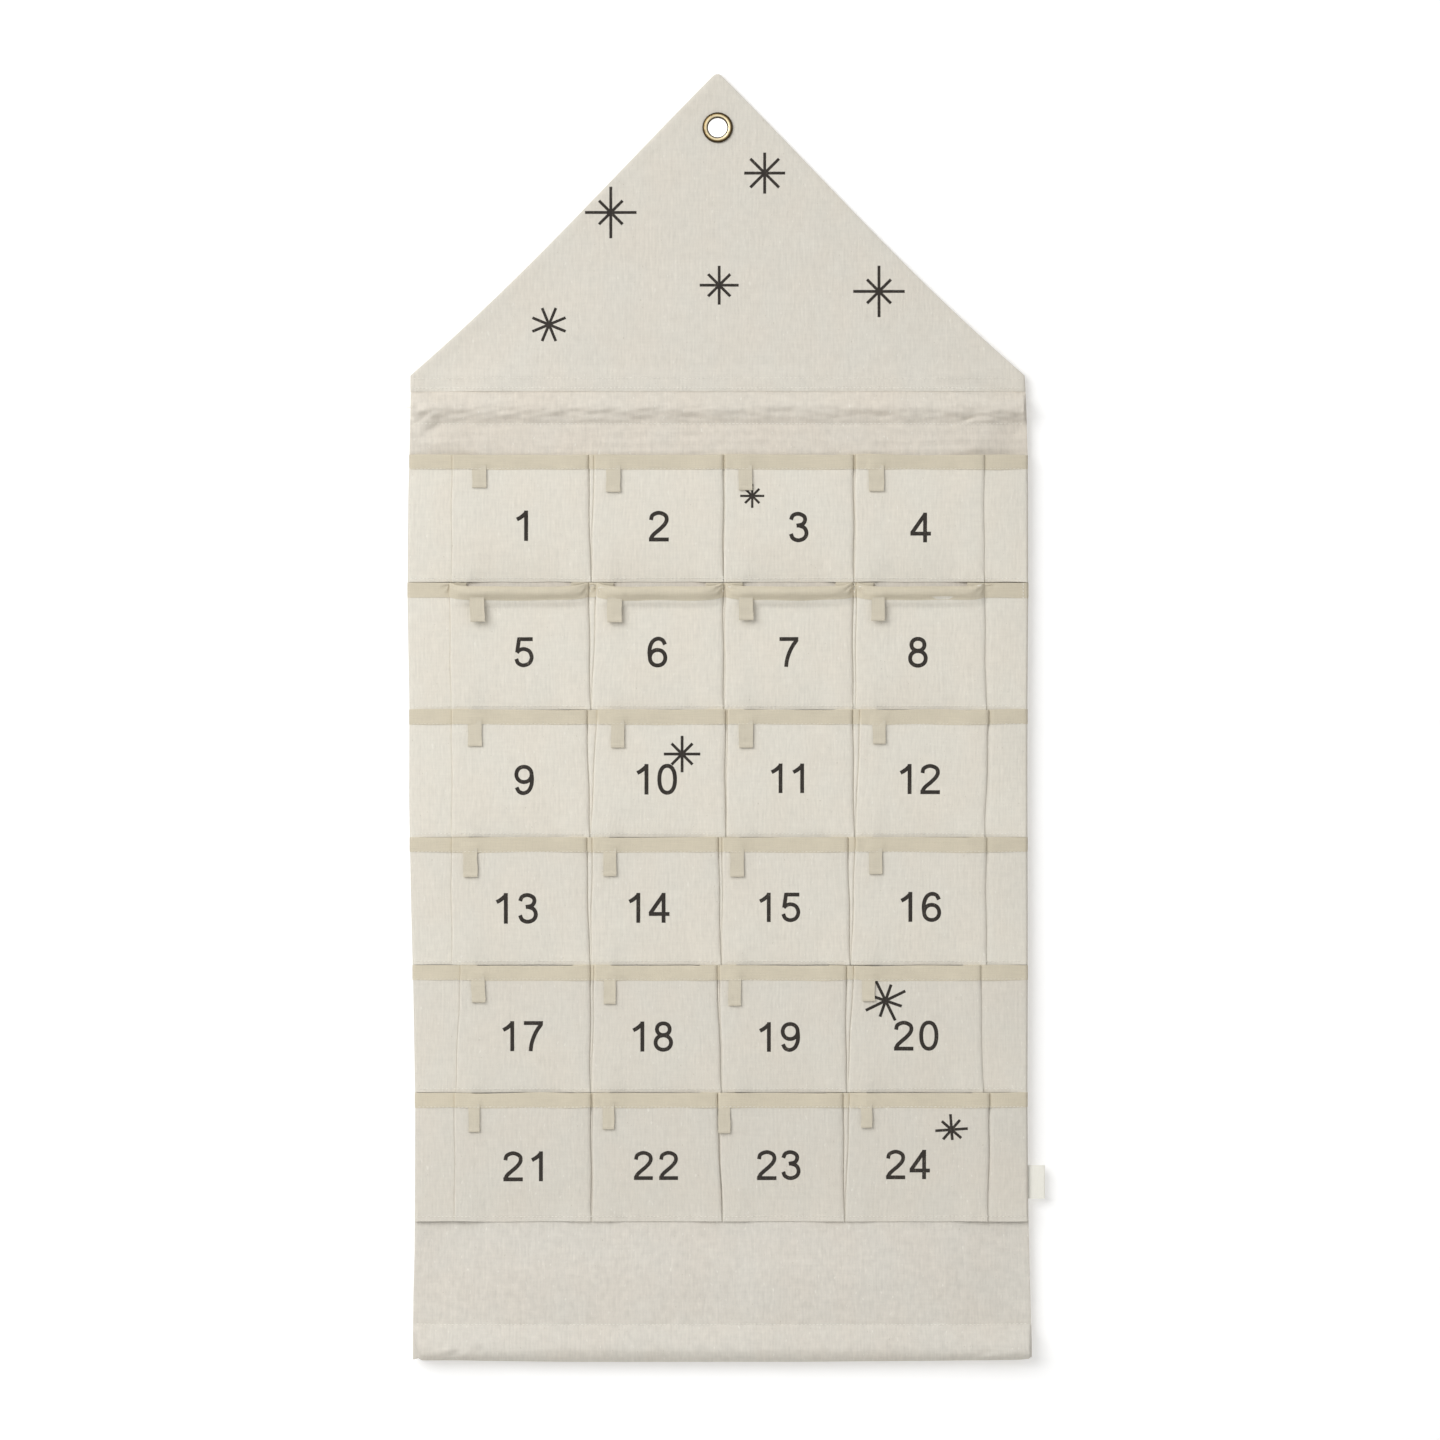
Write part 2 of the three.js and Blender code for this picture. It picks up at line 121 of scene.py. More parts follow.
def ripple(x, z, seed, longX, longZ, waves=9):
    # soft unrest of about unit size, made of a few plane waves
    draw = np.random.default_rng(seed)
    total = np.zeros(np.broadcast(x, z).shape)
    for _ in range(waves):
        turn = draw.uniform(0, math.tau)
        pace = draw.uniform(0.6, 1.6) * math.tau
        start = draw.uniform(0, math.tau)
        total = total + np.sin(pace * (x * math.cos(turn) / longX + z * math.sin(turn) / longZ) + start)
    return total / math.sqrt(waves / 2)


def gridFaces(rows, columns, closed=False):
    # quads that face forwards where rows go up and columns go right
    width = columns if closed else columns - 1
    row, column = np.meshgrid(np.arange(rows - 1), np.arange(width), indexing="ij")
    following = (column + 1) % columns
    corners = [
        row * columns + column,
        row * columns + following,
        (row + 1) * columns + following,
        (row + 1) * columns + column,
    ]
    return np.stack([corner.ravel() for corner in corners], axis=1)


def makeActive(piece):
    bpy.ops.object.select_all(action="DESELECT")
    piece.select_set(True)
    bpy.context.view_layer.objects.active = piece


def meshPiece(name, points, faces, finish, flat=None):
    mesh = bpy.data.meshes.new(name)
    mesh.from_pydata((np.asarray(points) * mm).tolist(), [], [list(face) for face in faces])
    if flat is not None:
        layer = mesh.uv_layers.new(name="cut")
        corner = np.empty(len(mesh.loops), dtype=np.int32)
        mesh.loops.foreach_get("vertex_index", corner)
        layer.data.foreach_set("uv", (np.asarray(flat)[corner] * mm).ravel())
    mesh.materials.append(finish)
    piece = bpy.data.objects.new(name, mesh)
    bpy.context.scene.collection.objects.link(piece)
    return piece


def thicken(piece, thickness, offset=0):
    makeActive(piece)
    layer = piece.modifiers.new("cloth thickness", "SOLIDIFY")
    layer.thickness = thickness * mm
    layer.offset = offset
    layer.use_even_offset = True
    bpy.ops.object.modifier_apply(modifier=layer.name)


def soften(piece, angle=42):
    makeActive(piece)
    bpy.ops.object.shade_smooth_by_angle(angle=math.radians(angle))


def clothPiece(name, grid, flat, thickness, finish):
    rows, columns, _ = grid.shape
    piece = meshPiece(name, grid.reshape(-1, 3), gridFaces(rows, columns), finish, flat.reshape(-1, 2))
    thicken(piece, thickness)
    soften(piece)
    return piece


def surfaceOf(*pieces):
    points = []
    faces = []
    for piece in pieces:
        first = len(points)
        points.extend(vertex.co.copy() for vertex in piece.data.vertices)
        faces.extend([first + corner for corner in face.vertices] for face in piece.data.polygons)
    return BVHTree.FromPolygons(points, faces)


def depthAt(surface, x, z, fallback=0.0, rear=False):
    # y of the first surface met from the front, or from the rear
    side = 1 if rear else -1
    found, _, _, _ = surface.ray_cast(Vector((x * mm, side * 0.2, z * mm)), Vector((0, -side, 0)))
    return fallback if found is None else found.y / mm


# Finishes: a socket that sums like a number, and one method that adds any node


class Wire:
    def __init__(self, finish, socket):
        self.finish = finish
        self.socket = socket

    def worked(self, operation, first, second=0.0):
        return self.finish.node("ShaderNodeMath", {"operation": operation}, {0: first, 1: second})

    def __add__(self, other):
        return self.worked("ADD", self, other)

    def __radd__(self, other):
        return self.worked("ADD", other, self)

    def __sub__(self, other):
        return self.worked("SUBTRACT", self, other)

    def __rsub__(self, other):
        return self.worked("SUBTRACT", other, self)

    def __mul__(self, other):
        return self.worked("MULTIPLY", self, other)


class Finish:
    # the nodes of a new material, or of the world when that is given
    def __init__(self, name, owner=None):
        self.material = owner or bpy.data.materials.new(name)
        self.material.use_nodes = True
        self.tree = self.material.node_tree
        self.shader = self.tree.nodes.get("Principled BSDF")

    def feed(self, socket, value):
        if isinstance(value, Wire):
            self.tree.links.new(value.socket, socket)
        else:
            socket.default_value = value

    def node(self, kind, settings=None, inputs=None, output=0):
        made = self.tree.nodes.new(kind)
        for key, value in (settings or {}).items():
            if key == "stops":
                self.setStops(made.color_ramp, value)
            else:
                setattr(made, key, value)
        for key, value in (inputs or {}).items():
            self.feed(made.inputs[key], value)
        return Wire(self, made.outputs[output])

    def setStops(self, ramp, stops):
        while len(ramp.elements) < len(stops):
            ramp.elements.new(1)
        for element, (place, colour) in zip(ramp.elements, stops):
            element.position = place
            element.color = colour

    def set(self, **values):
        for key, value in values.items():
            self.feed(self.shader.inputs[key.replace("_", " ")], value)

    def sine(self, wire):
        return self.node("ShaderNodeMath", {"operation": "SINE"}, {0: wire})

    def limited(self, wire, low, high):
        inputs = {"Value": wire, "From Min": low, "From Max": high}
        return self.node("ShaderNodeMapRange", {"interpolation_type": "SMOOTHSTEP"}, inputs)

    def cutPlace(self):
        return self.node("ShaderNodeUVMap", {"uv_map": "cut"})

    def objectPlace(self):
        return self.node("ShaderNodeTexCoord", output="Object")

    def axis(self, place, index):
        return self.node("ShaderNodeSeparateXYZ", {}, {0: place}, index)

    def length(self, place):
        return self.node("ShaderNodeVectorMath", {"operation": "LENGTH"}, {0: place}, "Value")

    def stretched(self, place, stretch):
        return self.node("ShaderNodeVectorMath", {"operation": "MULTIPLY"}, {0: place, 1: stretch})

    def noise(self, place, stretch, detail=2.0, roughness=0.5):
        inputs = {"Vector": self.stretched(place, stretch), "Scale": 1.0, "Detail": detail, "Roughness": roughness}
        return self.node("ShaderNodeTexNoise", {}, inputs, "Fac") - 0.5

    def mix(self, first, second, share):
        inputs = {0: share, 6: first, 7: second}
        return self.node("ShaderNodeMix", {"data_type": "RGBA"}, inputs, 2)

    def done(self, height, depth, strength, **values):
        inputs = {"Strength": strength, "Distance": depth, "Height": height}
        self.set(Normal=self.node("ShaderNodeBump", {}, inputs), **values)
        return self.material

    def surface(self, share, first, second):
        # mixes two shaders and sends them out
        mixed = self.node("ShaderNodeMixShader", {}, {0: share, 1: first, 2: second})
        self.tree.links.new(mixed.socket, self.tree.nodes["Material Output"].inputs["Surface"])


def paint(red, green, blue, share=1.0):
    # a colour as the eye reads it on a screen, 0 to 255, made linear
    def linear(value):
        value = value / 255
        return value / 12.92 if value <= 0.04045 else ((value + 0.055) / 1.055) ** 2.4

    return (linear(red) * share, linear(green) * share, linear(blue) * share, 1)


linenLooks = {
    "roof": {
        "low": (217, 212, 201), "high": (217, 212, 201),
        "slub": 0.64, "mottle": 0.22, "broad": 0.08, "flecks": 0.45,
    },
    "body": {
        "low": (215, 210, 200), "high": (218, 211, 199),
        "slub": 0.64, "mottle": 0.75, "broad": 0.3, "flecks": 0.6,
    },
    "pocket": {
        "low": (214, 209, 198), "high": (224, 219, 207),
        "slub": 0.62, "mottle": 0.06, "broad": 0.03, "flecks": 0.5,
    },
    "lining": {
        "low": (214, 208, 194), "high": (214, 208, 194),
        "slub": 0.8, "mottle": 0.3, "broad": 0.2, "flecks": 0.5,
    },
    "bodyFade": (0.2, 0.62),
    "pocketFade": (1.87, 1.5),
    "paleFleck": (242, 239, 230),
    "darkFleck": (158, 147, 126),
    "yarnPitch": 0.00064,
    "yarnDrift": 16,
    "darkShare": 0.86,
    "lightShare": 1.14,
}


def linenFinish(name, look, fade=linenLooks["bodyFade"]):
    finish = Finish(name)
    place = finish.cutPlace()
    slubs = finish.noise(place, (600, 130, 1))
    streaks = finish.noise(place, (760, 30, 1), 2.0, 0.55)
    weft = finish.noise(place, (70, 560, 1))
    mottle = finish.noise(place, (170, 150, 1), 2.5, 0.55) * look["mottle"]
    broad = finish.noise(place, (24, 17, 1), 3.0, 0.6) * look["broad"]
    tone = 0.5 + (slubs * 1.1 + streaks * 0.75 + weft * 0.5) * look["slub"] + mottle + broad
    across, along = finish.axis(place, 0), finish.axis(place, 1)
    # each cloth shifts from its low to its high colour along its cut: the body is a little darker and cooler low
    # down, and the pocket strips darken towards the lower rows
    upper = finish.limited(along, *fade)
    hue = finish.limited(finish.noise(place, (30, 24, 1)), -0.2, 0.2)

    def tinted(share):
        ends = []
        for red, green, blue in (look["low"], look["high"]):
            cool = paint(red - 0.5, green + 0.3, blue + 0.8, share)
            warm = paint(red + 0.5, green - 0.3, blue - 0.8, share)
            ends.append(finish.mix(cool, warm, hue))
        return finish.mix(*ends, upper)

    colour = finish.mix(tinted(linenLooks["darkShare"]), tinted(linenLooks["lightShare"]), tone)
    pale = finish.limited(finish.noise(place, (440, 190, 1), 1.5), 0.17, 0.27)
    colour = finish.mix(colour, paint(*linenLooks["paleFleck"]), pale * look["flecks"] * 0.8)
    dusk = finish.limited(finish.noise(place, (640, 360, 3), 1.0), 0.245, 0.29)
    colour = finish.mix(colour, paint(*linenLooks["darkFleck"]), dusk * look["flecks"] * 0.6)
    pace, drift = math.tau / linenLooks["yarnPitch"], linenLooks["yarnDrift"]
    warpWave = finish.sine(across * pace + finish.noise(place, (240, 90, 1)) * drift)
    weftWave = finish.sine(along * pace + finish.noise(place, (90, 240, 1)) * drift)
    height = warpWave * weftWave * 0.12 + slubs * 0.9 + streaks * 0.6 + weft * 0.7 + mottle * 1.2
    cloth = {"Roughness": 0.92, "Specular_IOR_Level": 0.12, "Sheen_Weight": 0.06, "Sheen_Roughness": 0.6}
    return finish.done(height, 0.0002, 0.7, Base_Color=colour, **cloth)


tapeLook = {"colour": (213, 204, 183), "loopColour": (212, 204, 185), "rib": 0.00062}


def tapeFinish(name, shown):
    finish = Finish(name)
    place = finish.cutPlace()
    fibre = finish.noise(place, (60, 1300, 1))
    cross = finish.noise(place, (1300, 120, 1))
    patches = finish.noise(place, (40, 60, 1))
    tone = 0.5 + fibre * 0.7 + cross * 0.6 + patches * 0.7
    colour = finish.mix(paint(*shown, 0.88), paint(*shown, 1.09), tone)
    rib = finish.sine((finish.axis(place, 0) + finish.axis(place, 1) * 0.8) * (math.tau / tapeLook["rib"]))
    cloth = {"Roughness": 0.88, "Specular_IOR_Level": 0.15, "Sheen_Weight": 0.05, "Sheen_Roughness": 0.5}
    return finish.done(rib * 0.4 + fibre + cross, 0.00014, 0.7, Base_Color=colour, **cloth)


inkLook = {"colour": (50, 46, 42), "worn": (112, 105, 94)}


def inkFinish(name):
    finish = Finish(name)
    place = finish.objectPlace()
    weave = finish.noise(place, (1500, 1500, 1100), 1.0)
    streak = finish.noise(place, (800, 800, 60), 1.5)
    worn = finish.limited(weave + streak * 0.6, 0.14, 0.3)
    colour = finish.mix(paint(*inkLook["colour"], 0.9), paint(*inkLook["colour"], 1.25), 0.5 + streak * 1.6)
    colour = finish.mix(colour, paint(*inkLook["worn"]), worn * 0.75)
    return finish.done(weave + streak, 0.00016, 0.7, Base_Color=colour, Roughness=0.8, Specular_IOR_Level=0.2)


threadLook = {"colour": (247, 244, 235), "twist": 0.0004}


def threadFinish(name):
    finish = Finish(name)
    place = finish.objectPlace()
    twist = finish.sine((finish.axis(place, 0) + finish.axis(place, 2)) * (math.tau / threadLook["twist"]))
    shade = finish.noise(place, (300, 300, 300), 1.0)
    dark = paint(*threadLook["colour"], 0.86)
    colour = finish.mix(dark, paint(*threadLook["colour"], 1.05), 0.55 + twist * 0.2 + shade * 0.7)
    return finish.done(twist, 0.00005, 0.6, Base_Color=colour, Roughness=0.75, Specular_IOR_Level=0.25)


labelLook = {"colour": (241, 239, 229), "weave": 0.00045}


def labelFinish(name):
    finish = Finish(name)
    place = finish.cutPlace()
    pace = math.tau / labelLook["weave"]
    weave = finish.sine(finish.axis(place, 0) * pace) * finish.sine(finish.axis(place, 1) * pace)
    fibre = finish.noise(place, (1400, 200, 1))
    dark = paint(*labelLook["colour"], 0.93)
    colour = finish.mix(dark, paint(*labelLook["colour"], 1.04), 0.5 + weave * 0.12 + fibre * 0.8)
    return finish.done(weave * 0.5 + fibre, 0.0001, 0.5, Base_Color=colour, Roughness=0.7, Specular_IOR_Level=0.3)


# The bands run from the bore to the flange's rim, as share of the way and colour: a painted highlight on the flange's
# crown, and painted shade towards the bore and the rim
brassLook = {
    "bright": (213, 199, 164),
    "mid": (146, 126, 86),
    "dark": (66, 54, 36),
    "places": [0.0, 0.1, 0.24, 0.33, 0.5, 0.6, 0.72, 1.0],
    "bands": ["mid", "dark", "dark", "bright", "bright", "mid", "dark", "dark"],
    "fromRadius": 6.6,
    "toRadius": 11.6,
}


def brassFinish(name):
    finish = Finish(name)
    place = finish.objectPlace()
    radius = finish.length(finish.stretched(place, (1, 0, 1))) * 1000
    reach = {"Value": radius, "From Min": brassLook["fromRadius"], "From Max": brassLook["toRadius"]}
    share = finish.node("ShaderNodeMapRange", {}, reach)
    # painted highlight on the crown and painted shade at the bore and the rim, laid as colour bands by radius
    stops = [(at, paint(*brassLook[band])) for at, band in zip(brassLook["places"], brassLook["bands"])]
    tone = finish.node("ShaderNodeValToRGB", {"stops": stops}, {0: share})
    stain = finish.limited(finish.noise(place, (420, 420, 420), 3.0, 0.6), -0.02, 0.2)
    colour = finish.mix(tone, paint(*brassLook["dark"]), stain * 0.45)
    rub = finish.noise(place, (900, 900, 900))
    return finish.done(rub, 0.00006, 0.5, Base_Color=colour, Metallic=1.0, Roughness=0.36 + stain * 0.25 + rub * 0.2)


woodLook = {"light": (216, 184, 138), "dark": (176, 138, 92)}


def woodFinish(name):
    finish = Finish(name)
    place = finish.objectPlace()
    rings = finish.noise(place, (9, 420, 420), 3.0, 0.6)
    pores = finish.noise(place, (60, 1600, 1600))
    tone = 0.5 + rings * 1.8 + pores * 0.5
    colour = finish.mix(paint(*woodLook["dark"]), paint(*woodLook["light"]), tone)
    return finish.done(pores + rings, 0.0001, 0.5, Base_Color=colour, Roughness=0.62 + rings * 0.2)


roofLinen = linenFinish("roof_linen_cloth", linenLooks["roof"])
bodyLinen = linenFinish("body_linen_cloth", linenLooks["body"])
pocketLinen = linenFinish("pocket_linen_cloth", linenLooks["pocket"], linenLooks["pocketFade"])
liningLinen = linenFinish("lining_linen_cloth", linenLooks["lining"])
cottonTape = tapeFinish("cotton_tape_cloth", tapeLook["colour"])
loopTape = tapeFinish("loop_tape_cloth", tapeLook["loopColour"])
charcoalInk = inkFinish("charcoal_ink")
paleThread = threadFinish("pale_thread")
labelTape = labelFinish("label_tape_cloth")
antiqueBrass = brassFinish("antique_brass_metal")
bareWood = woodFinish("bare_wood_grain")
print("finishes made")


# The house outline and how the whole cloth hangs

house = {
    "halfWidth": 227,
    "apex": 39.4,
    "eaves": -183.7,
    "tipRadius": 4.4,
    "rafterDip": 5,
    "dipPower": 1.5,
    "sideHeights": [
        -911.6, -868, -831, -794, -720, -646, -572,
        -498, -424, -350, -276, -239, -202, -183.7,
    ],
    "leftSide": [
        -225.6, -225.2, -224.2, -223.9, -223.7, -225.0, -226.8,
        -228.2, -228.1, -229.4, -228.9, -228.0, -227.2, -227.3,
    ],
    "rightSide": [
        232.6, 231.6, 230.6, 229.8, 229.3, 229.5, 229.5,
        229.3, 229.3, 229.9, 229.8, 229.4, 228.2, 227.2,
    ],
    "swaySize": 0.42,
    "clothThickness": 0.7,
}


def raftersTable():
    corner = house["tipRadius"] * math.sqrt(0.5)
    tipZ = house["apex"] - house["tipRadius"] + corner
    share = np.linspace(1, 0, 160)
    dip = house["rafterDip"] * np.sin(math.pi * share ** house["dipPower"])
    heights = tipZ + (house["eaves"] - tipZ) * share - dip
    halves = corner + (house["halfWidth"] - corner) * share
    turn = np.linspace(math.pi / 4, 0, 12)[1:]
    tipHeights = house["apex"] - house["tipRadius"] * (1 - np.cos(turn))
    tipHalves = house["tipRadius"] * np.sin(turn)
    return np.concatenate([heights, tipHeights]), np.concatenate([halves, tipHalves])


rafterHeights, rafterHalves = raftersTable()


def halfAt(z):
    return np.interp(z, rafterHeights, rafterHalves)


def hungX(x, z):
    # where a point of the straight pattern hangs, between the drifting side edges
    left = np.interp(z, house["sideHeights"], house["leftSide"])
    right = np.interp(z, house["sideHeights"], house["rightSide"])
    share = (x + house["halfWidth"]) / (2 * house["halfWidth"])
    return left + share * (right - left)


dowels = {
    "radius": 4.25,
    "clearance": 0.4,
    "topZ": -208.5,
    "bottomZ": -906.25,
    "leftEnd": -205,
    "hemStitchZ": -886.0,
}
dowels["y"] = -(house["clothThickness"] + 0.3 + dowels["radius"])
dowels["clothRadius"] = dowels["radius"] + dowels["clearance"] + house["clothThickness"] / 2
dowels["slack"] = {"topRise": 1.0, "topRadius": 0.7, "hemCentre": -903.5, "hemProud": 6.1}
dowels["slack"]["hemPlaces"] = [-227, -212, -195, -175, -140, -100, 60, 150, 211, 219, 227]
dowels["slack"]["hemDeeps"] = [8.7, 8.7, 8.6, 9.0, 9.5, 9.8, 9.7, 9.0, 8.4, 8.1, 7.3]


def sway(x, z):
    # the hung cloth's gentle unevenness, calm at the dowels and the eyelet
    calm = (1 - hump(z, dowels["topZ"], 50)) * (1 - hump(z, dowels["bottomZ"], 60))
    calm = calm * (1 - np.exp(-((x**2 + z**2) / 70**2)))
    return house["swaySize"] * calm * ripple(x, z, 11, 300, 260)


# How far the dowels hold the front cloth off its flat depth at each level, and how soon it leaves the sides
standOffPlan = {
    "eaves": 4.4,
    "hem": 3.4,
    "sideClear": 4,
    "sideReach": 66,
    "sleeveReach": 34,
    "levels": [-1000, -886, -852, -812, -358, -341, -337, -290, -243, -225, -198, -100, 100],
    "depths": [3.4, 3.4, 4.8, 2.6, 2.6, 4.2, 2.6, 2.6, 4.0, 4.4, 4.4, 0, 0],
}


def standOff(z):
    levels = standOffPlan["levels"]
    fine = np.linspace(levels[0], levels[-1], 1101)
    return np.interp(z, fine, blurred(np.interp(fine, levels, standOffPlan["depths"]), 4))


def fromSides(away, z):
    # the cloth comes off the side seams sooner along the upper sleeve
    sleeve = smooth(z, -247, -232) * (1 - smooth(z, -204, -190))
    reach = standOffPlan["sideReach"] + (standOffPlan["sleeveReach"] - standOffPlan["sideReach"]) * sleeve
    return smooth(away, standOffPlan["sideClear"], reach)


def spacedAcross(step=2.6):
    # places across the cloth as shares, closer together near both sides
    near = np.array([0, 0.35, 0.8, 1.4, 2.2, 3.4, 5.0, 7.0])
    width = 2 * house["halfWidth"]
    inner = np.linspace(near[-1], width - near[-1], int((width - 2 * near[-1]) / step) + 1)
    places = np.concatenate([near[:-1], inner, width - near[:-1][::-1]])
    return places / width * 2 - 1


def edgeCurl(away, depth, reach=2.4):
    # the cloth turns in towards the seam at its outer edge
    share = np.clip(1 - away / reach, 0, 1)
    return depth * (1 - np.sqrt(1 - share**2 * 0.96))


def roofLevels(low, step=2.4):
    upper = house["apex"] - 0.02
    levels = np.linspace(low, upper - 3, int((upper - 3 - low) / step) + 1)
    return np.concatenate([levels, upper - np.array([2.2, 1.5, 0.9, 0.45, 0.15, 0])])


def houseGrid(shares, levels):
    # pattern place and height of every point, its distance from the nearest side, and where it hangs
    half = np.where(levels > house["eaves"], halfAt(levels), house["halfWidth"])[:, None]
    patternX, z = np.broadcast_arrays(shares[None, :] * half, levels[:, None])
    away = (half - np.abs(patternX)) * np.where(z > house["eaves"], math.sqrt(0.5), 1)
    return patternX, z, away, hungX(patternX, z)


# Back lining

liningPlan = {"y": -0.35, "low": -910.4, "curl": -0.42, "seamAllowance": 8.0, "ridge": 0.16, "thickness": 0.62}


def buildLining():
    below = np.linspace(liningPlan["low"], house["eaves"], 170)[:-1]
    levels = np.concatenate([below, roofLevels(house["eaves"], 3.2)])
    patternX, z, away, x = houseGrid(spacedAcross(4.0), levels)
    reach = liningPlan["seamAllowance"]
    y = liningPlan["y"] + edgeCurl(away, liningPlan["curl"])
    y = y + liningPlan["ridge"] * (1 - smooth(away, reach - 1.5, reach + 1.5))
    y = y + sway(x, z) + 0.05 * ripple(x, z, 23, 40, 60)
    return clothPiece("lining_cloth", laid(x, y, z), laid(patternX, z), liningPlan["thickness"], liningLinen)


# Front panel: bulges over both dowels, creased along the upper sleeve and past the dowels' ends

panelPlan = {
    "y": -1.35,
    "upperEdge": -185.4,
    "sleeveStitch": -219.5,
    "sleeveHead": -197.5,
    "hemWrap": 222,
    "hemSlope": (1.7, 0.75),
    "deepest": 9.8,
    "crumple": 0.4,
    "endDroop": 0.6,
    "droopFade": (20, 5),
    "slideRoom": (21.8, 15.2),
    "curl": 0.42,
    "closeOver": 2.6,
    "endPuff": 3.8,
    "cutPlace": 500,
}


def tentTurn(base, rise, radius):
    # angle at which the cloth leaves a dowel on its way to a seam at the base depth
    run = base - dowels["y"]
    return math.acos(radius / math.hypot(rise, run)) - math.atan2(run, rise)


def sleeveDepth(z, base):
    # cloth drawn over the upper dowel between the sleeve's two seams
    radius = dowels["clothRadius"] + dowels["slack"]["topRadius"]
    centre = dowels["topZ"] + dowels["slack"]["topRise"]
    fine = np.linspace(panelPlan["sleeveStitch"] - 9, panelPlan["sleeveHead"] + 9, 320)
    depths = np.full(fine.shape, float(base))
    for side, seam in ((-1, panelPlan["sleeveStitch"]), (1, panelPlan["sleeveHead"])):
        rise = abs(seam - centre)
        turn = tentTurn(base, rise, radius)
        touch = radius * math.cos(turn)
        touchY = dowels["y"] - radius * math.sin(turn)
        above = (fine - centre) * side
        on = (above >= 0) & (above <= touch)
        depths[on] = dowels["y"] - np.sqrt(radius**2 - above[on] ** 2)
        off = (above > touch) & (above < rise)
        depths[off] = touchY + (base - touchY) * (above[off] - touch) / (rise - touch)
    return np.interp(z, fine, blurred(depths, 12)) - base


def hemPath(base, deep):
    # section of the hem from behind the lower dowel, slack round it and up to the hem stitch
    slack = dowels["slack"]
    angles = np.linspace(math.radians(panelPlan["hemWrap"]), math.pi / 2, 26)
    z = slack["hemCentre"] + deep * np.cos(angles)
    # the cloth falls away below its foremost line, in a nearly flat slope where the hem is deepest
    power, powerGain = panelPlan["hemSlope"]
    falling = 1 - np.clip(-np.cos(angles), 0, 1) ** (power + powerGain * (panelPlan["deepest"] - deep))
    y = dowels["y"] - slack["hemProud"] * np.where(angles > math.pi, np.sin(angles), falling)
    share = np.linspace(0, 1, 15)[1:]
    z = np.concatenate([z, z[-1] + (dowels["hemStitchZ"] - z[-1]) * share])
    y = np.concatenate([y, y[-1] + (base - y[-1]) * share**1.6])
    return z, y


def buildBody():
    shares = spacedAcross(2.4)
    spans = ((dowels["hemStitchZ"], -806, 42), (-806, -247, 96), (-247, panelPlan["upperEdge"], 62))
    levels = np.concatenate([np.linspace(*span)[1:] for span in spans])
    across = shares * house["halfWidth"]
    away = house["halfWidth"] - np.abs(across)
    closing = np.sqrt(1 - np.clip((across - house["halfWidth"]) / panelPlan["closeOver"] + 1, 0, 1) ** 2)
    leftEnd, slack = dowels["leftEnd"], dowels["slack"]
    # the bulge leaves room past the dowels' left ends for their slide, and a lobe of it droops there
    onDowel, drooping = (
        smooth(across, leftEnd - far, leftEnd - near) * closing
        for far, near in (panelPlan["slideRoom"], panelPlan["droopFade"])
    )
    droop = panelPlan["endDroop"] * np.maximum(leftEnd - across, 0)
    deep = np.interp(across, slack["hemPlaces"], slack["hemDeeps"])
    columns = []
    for k in range(len(across)):
        hemBase = panelPlan["y"] - standOffPlan["hem"] * fromSides(away[k], dowels["hemStitchZ"])
        roundHem = np.stack(hemPath(hemBase, deep[k]))
        flatZ = np.linspace(slack["hemCentre"] - deep[k], dowels["hemStitchZ"], roundHem.shape[1])
        tube = np.sin(math.pi * np.linspace(0, 1, len(flatZ))) ** 0.7
        puff = panelPlan["endPuff"] * smooth(away[k], 0, 6) * tube
        flatHem = np.stack([flatZ, panelPlan["y"] - standOff(flatZ) * fromSides(away[k], flatZ) - puff])
        hem = flatHem + (roundHem - flatHem) * onDowel[k]
        sleeveBase = panelPlan["y"] - standOffPlan["eaves"] * fromSides(away[k], dowels["topZ"])
        lobe = sleeveDepth(levels + droop[k], sleeveBase) * drooping[k]
        bulge = np.minimum(lobe, sleeveDepth(levels, sleeveBase) * onDowel[k])
        base = panelPlan["y"] - standOff(levels) * fromSides(away[k], levels)
        columns.append(np.concatenate([hem, np.stack([levels, base + bulge])], axis=1))
    z, y = np.stack(columns, axis=2)
    patternX = np.broadcast_to(across, z.shape)
    x = hungX(patternX, z)
    y = y + sleeveCreases(x, z) + hemCreases(x, z, patternX) + edgeCurl(away, panelPlan["curl"]) + sway(x, z)
    middle = len(across) // 2
    run = runAlong(z[:, middle], y[:, middle])
    flat = laid(patternX + panelPlan["cutPlace"], run[:, None])
    piece = clothPiece("body_cloth", laid(x, y, z), flat, house["clothThickness"], bodyLinen)
    return piece, float(run[-1])


